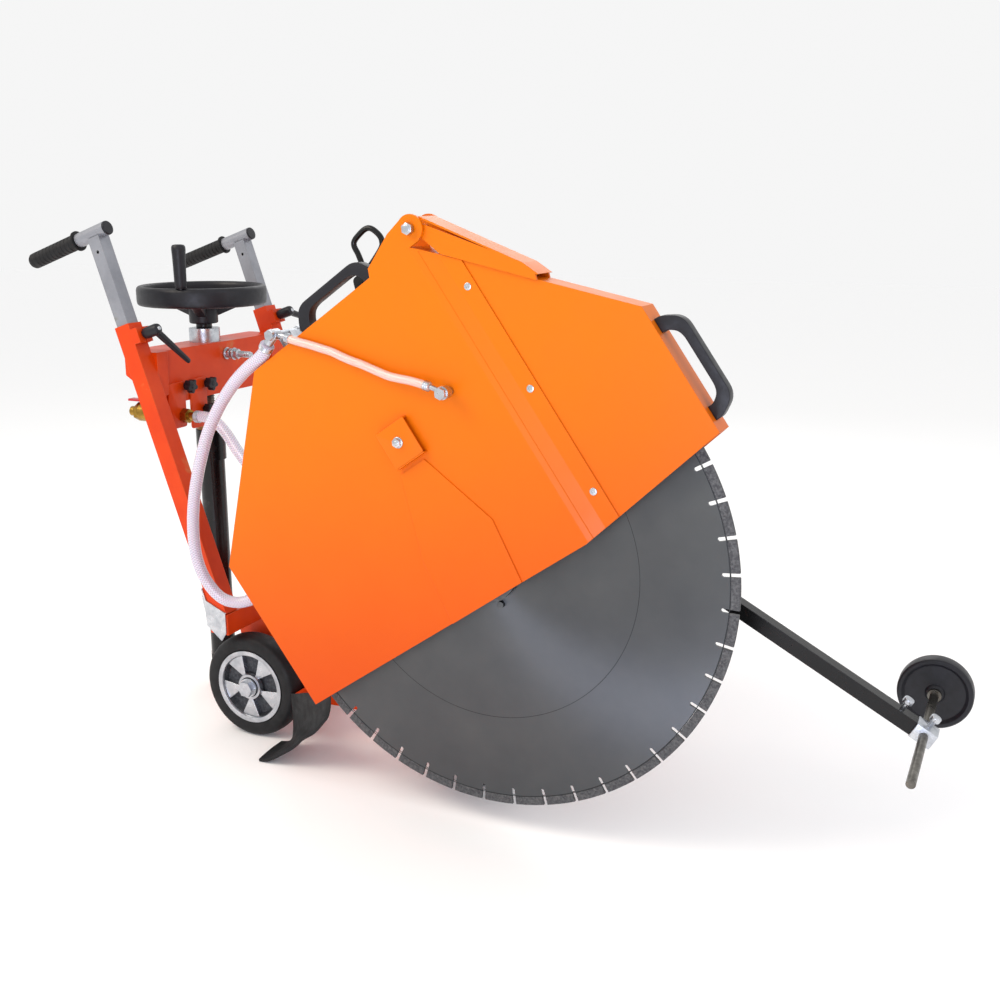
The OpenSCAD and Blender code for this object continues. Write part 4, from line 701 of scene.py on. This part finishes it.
# ---- Wheels ------------------------------------------------------------------------------
# Solid rubber tyres are bonded on cast rims of turned aluminium with five webs and a ball
# bearing in the hub. The front wheels are smaller, with plain pressed hubs.
# Turned faces are bright, and the blasted casting behind them is dark and grainy.
aluminium = surface("Turned_aluminium", "#C9CBD0", "#A2A5AB", 25, (0.24, 0.36), 1.0, 0.7, 0.12, edge_mm=0.8)
dark_cast = surface("Blasted_cast_aluminium", "#5C5E63", "#3E4045", 6, (0.5, 0.65), 1.0, 0.6, 0.5)
tyre_profile = [(72, -20), (75, -22), (79, -22.5), (90, -22.5), (94, -21), (97.5, -17.5), (99.4, -12),
                (100, -6), (100, 6), (99.4, 12), (97.5, 17.5), (94, 21), (90, 22.5), (79, 22.5), (75, 22),
                (72, 20)]
rim_profile = [(13, -21), (17, -21), (17.5, -19.5), (19, -19.5), (20, -21.5), (24, -21.5), (25.5, -17),
               (27, -9), (57, -9), (60.5, -17), (63, -21), (65, -21.5), (71.5, -21.5)]
rim_profile += [(r, -z) for r, z in reversed(rim_profile)]
WEBS, FIRST_WEB = 5, 0.35
lobe = rounded([(23, -3), (63, -21), (63, 21), (23, 3)], 3)
front_tyre = [(57, -19), (60, -20), (70, -20), (73.6, -17), (75, -11), (75, 11), (73.6, 17), (70, 20),
              (60, 20), (57, 19)]
front_hub = [(10.1, -20), (17, -20), (18.5, -18), (20, -7), (50, -7), (53, -16), (56.6, -18), (56.6, 18),
             (53, 16), (50, 7), (20, 7), (18.5, 18), (17, 20), (10.1, 20)]
for side, y, front_y in (("near", 132, 132), ("far", 484, 484)):
    place = FROM_AXLE @ at(0, y, 0) @ TO_Y
    body = "rear_wheel_" + side
    settle(piece("Rear_tyre_" + side, turned(tyre_profile, 96, True), place, rubber), body, "tyre_rubber",
           "rear_tyre_" + side)
    settle(piece("Rear_rim_" + side, turned(rim_profile, 96, True), place, dark_cast), body, "rim_aluminium",
           "rear_rim_" + side)
    lip = [(60.8, -17.4), (63, -21.4), (65, -22), (71.4, -22), (71.4, 22), (65, 22), (63, 21.4), (60.8, 17.4)]
    bearing = turned([(19.6, -22), (24.4, -22), (26, -17), (26, 17), (24.4, 22), (19.6, 22)], 64, True)
    settle(piece("Rim_lips_" + side, together(turned(lip, 96, True), bearing), place, aluminium), body,
           "rim_aluminium")
    both_faces = together(slab(lobe, -17.5, -8), slab(lobe, 8, 17.5))
    webs = piece("Rim_webs_" + side, both_faces, UNIT, aluminium, 2.0, 3)
    repeated(webs, place @ Matrix.Rotation(FIRST_WEB, 4, "Z"), WEBS, turn=2 * math.pi / WEBS)
    settle(webs, body, "rim_aluminium")
    axle = FROM_AXLE @ at(483, front_y, -25) @ TO_Y
    body = "front_caster_" + side
    settle(piece("Front_tyre_" + side, turned(front_tyre, 80, True), axle, rubber), body, "tyre_rubber",
           "front_wheel_" + side)
    settle(piece("Front_hub_" + side, turned(front_hub, 80, True), axle, zinc), body, "zinc_plate",
           "front_wheel_" + side)

# ---- Blade -------------------------------------------------------------------------------
# A tensioned steel core, ground in rings, which gives the fan of light from its centre, with
# 45 sintered diamond segments laser welded on. The seam is a thin dark line.
# Grinding marks run in rings, so a lamp makes a fan of light from the centre.
ground_steel = surface("Ring_ground_blade_steel", "#5C5E60", "#55575A", 120, (0.30, 0.36), 1.0, 0.9, 0.04,
                       edge_mm=0.4, Anisotropic=0.9)
tree = ground_steel.node_tree
shader = tree.nodes["Principled BSDF"]
ring_way = node(tree, "ShaderNodeTangent", direction_type="RADIAL", axis="Y")
tree.links.new(ring_way.outputs[0], shader.inputs["Tangent"])
dress(ground_steel, "blade_core")
# Sintered metal with diamond grit: dark, dull and coarse.
sintered = surface("Sintered_segment", "#6A6A6A", "#46464A", 3, (0.5, 0.7), 0.85, 0.7, 0.5, edge_mm=0.4)
SEGMENTS, CORE_R, BLADE_R, SLOT_W = 45, 386.2, 400, 6
PITCH = 2 * math.pi / SEGMENTS
half = PITCH / 2 - math.asin(SLOT_W / 2 / 393)
arc = [half * (k / 5 - 1) for k in range(11)]
segment = slab([(CORE_R * math.cos(a), CORE_R * math.sin(a)) for a in reversed(arc)]
               + [(BLADE_R * math.cos(a), BLADE_R * math.sin(a)) for a in arc], -2.5, 2.5)
segments = piece("Blade_segments", segment, UNIT, sintered, 0.4, 1)
first = RAISED - math.radians(5.3) + PITCH / 2
repeated(segments, ON_FRAME @ TO_Y @ Matrix.Rotation(first, 4, "Z"), SEGMENTS, turn=PITCH)
settle(segments, "blade", "segment_metal", "blade_segments")
# A scribed line is cut into the ring-ground face and reads as a thin dark ring.
scribed = surface("Scribed_line", "#3E4042", "#383A3C", 20, (0.4, 0.5), 1.0, 0.9, 0.05)
rings = together(*[turned([(r - w, h), (r + w, h), (r + w, h + 0.04), (r - w, h + 0.04)], 180, True)
                   for r, w in ((251, 0.5), (385.2, 0.6)) for h in (2.0, -2.04)])
settle(piece("Blade_scribed_rings", rings, ON_FRAME @ TO_Y, scribed), "blade", "blade_steel")

# ---- Guide arm ---------------------------------------------------------------------------
# The guide wheel is a smooth black wheel on a steel rod, held in a zinc block at the end of
# the square arm by two zinc thumb screws.
arm_at = ON_FRAME @ at(119.5, 180, -3.7) @ Matrix.Rotation(math.radians(28.4) + RAISED, 4, "Y")
block_shape = slab(rounded([(605, -16), (640, -16), (640, 16), (605, 16)], 2), -13, 13)
settle(piece("Guide_block", block_shape, arm_at, zinc, 1.2), "guide_arm", "zinc_plate", "guide_block")
thumb = together(turned([(0, 10), (4, 10), (4, 21), (7, 22), (8, 24), (8, 30), (7, 31.5), (0, 31.5)], 32))
screws = piece("Guide_screws", thumb, UNIT, zinc, 0.5)
repeated(screws, arm_at @ at(577, 0, 2), 2, (46, 0, 0))
settle(screws, "guide_arm", "zinc_plate", "guide_block")
guide_wheel = turned([(7.1, -14), (12, -14), (14, -12.5), (16, -9), (47, -8), (50, -11), (52, -13.4),
                      (56.5, -13.6), (59.2, -11.5), (60, -8), (60, 8), (59.2, 11.5), (56.5, 13.6), (52, 13.4),
                      (50, 11), (47, 8), (16, 9), (14, 12.5), (12, 14), (7.1, 14)], 96, True)
settle(piece("Guide_wheel", guide_wheel, arm_at @ at(623, 172, 0) @ TO_Y, plastic), "guide_wheel",
       "tyre_rubber", "guide_wheel")

# ---- Rubber flap -------------------------------------------------------------------------
# A strip cut from a thick rubber mat hangs in front of the near wheel and curls over it.
near_edge = [(78, -97), (103, -91), (153, -58), (176, -36), (201, -18), (222, 6), (232, 21), (237, 43),
             (237, 66)]
far_edge = [(72, -97), (90, -93), (98, -85), (101, -70), (102, -55), (102, -40), (102, -25), (101, -10),
            (101, 6)]
near_line, far_line = (spline([(x, 0, z) for x, z in edge], 5) for edge in (near_edge, far_edge))
count = len(near_line)
flap_points, flap_faces = [], []
ACROSS = 9
for i in range(count):
    ahead = min(i + 1, count - 1)
    behind = max(i - 1, 0)
    for k in range(ACROSS):
        t = k / (ACROSS - 1)
        p = near_line[i].lerp(far_line[i], t)
        along = near_line[ahead].lerp(far_line[ahead], t) - near_line[behind].lerp(far_line[behind], t)
        out = Vector((-along.z, 0, along.x)).normalized()
        bow = 1.5 * math.sin(math.pi * t)
        for face_side in (2.4, -2.4):
            flap_points.append((p.x + out.x * (face_side + bow), 26 + 80 * t,
                                p.z + out.z * (face_side + bow)))
row = 2 * ACROSS
for i in range(count - 1):
    for k in range(ACROSS - 1):
        a, b = i * row + 2 * k, (i + 1) * row + 2 * k
        flap_faces += [(a, b, b + 2, a + 2), (a + 3, b + 3, b + 1, a + 1)]
    a, b = i * row, (i + 1) * row
    flap_faces += [(a + 1, b + 1, b, a), (a + row - 2, b + row - 2, b + row - 1, a + row - 1)]
for k in range(ACROSS - 1):
    a, b = 2 * k, (count - 1) * row + 2 * k
    flap_faces += [(a, a + 2, a + 3, a + 1), (b + 1, b + 3, b + 2, b)]
flap = piece("Rubber_flap", (flap_points, flap_faces), FROM_AXLE, rubber)
settle(flap, "undercarriage", "flap_rubber", "mud_flap")

# ---- Hose clamps -------------------------------------------------------------------------
# Crimped ferrules of pressed steel hold the hoses on their barbs. They are zinc plated and
# have three rolled grooves.
def ferrule(name, end, towards, radius, place, body):
    """A crimped sleeve on the end of a hose, pointing along it."""
    start, ahead = Vector(end), (Vector(towards) - Vector(end)).normalized()
    turn = ahead.to_track_quat("Z", "Y").to_matrix().to_4x4()
    shape = turned([(radius - 0.6, 1), (radius + 1.4, 1), (radius + 2, 2.4), (radius + 1.2, 4),
                    (radius + 2, 5.6), (radius + 1.2, 7.2), (radius + 2, 8.8), (radius + 1.4, 10.2),
                    (radius - 0.6, 10.2)], 40, True)
    settle(piece(name, shape, place @ Matrix.Translation(start) @ turn, zinc), body, "zinc_plate")


ferrule("Ferrule_pipe", feed_route[0], feed_route[1], 9.9, FROM_AXLE, "saw_frame")
ferrule("Ferrule_elbow", feed_route[-1], feed_route[-2], 9.9, FROM_AXLE, "undercarriage")
ferrule("Ferrule_spray_top", spray_route[0], spray_route[1], 6, ON_FRAME, "saw_frame")
ferrule("Ferrule_spray_end", spray_route[-1], spray_route[-2], 6, ON_FRAME, "saw_frame")

# ---- Motor, belts and switches -----------------------------------------------------------
# A ribbed cast motor in grey paint drives the blade through three belts under a black cover.
# The switch box on the far side is moulded grey plastic with a green and a red button.
# Air-dried machine paint is even and half matt, cast iron is coarse, and the box and its
# buttons are moulded, the buttons glossy.
dress(surface("Grey_motor_paint", "#565B60", "#484D52", 50, (0.4, 0.5), 0.0, 1.5, 0.15, worn="#7A7F84"),
      "motor_housing")
dress(surface("Turned_cast_iron", "#6A6B6E", "#505154", 8, (0.4, 0.55), 1.0, 0.8, 0.3), "motor_pulley",
      "blade_pulley")
dress(surface("Grey_box_plastic", "#74777B", "#66696D", 20, (0.4, 0.5), 0.0, 1.0, 0.2), "switch_box")
dress(surface("Green_button", "#157A35", "#10682B", 10, (0.2, 0.3), 0.0, 1.0, 0.05), "start_button")
dress(surface("Red_button", "#C41A18", "#A81412", 10, (0.2, 0.3), 0.0, 1.0, 0.05), "stop_button")
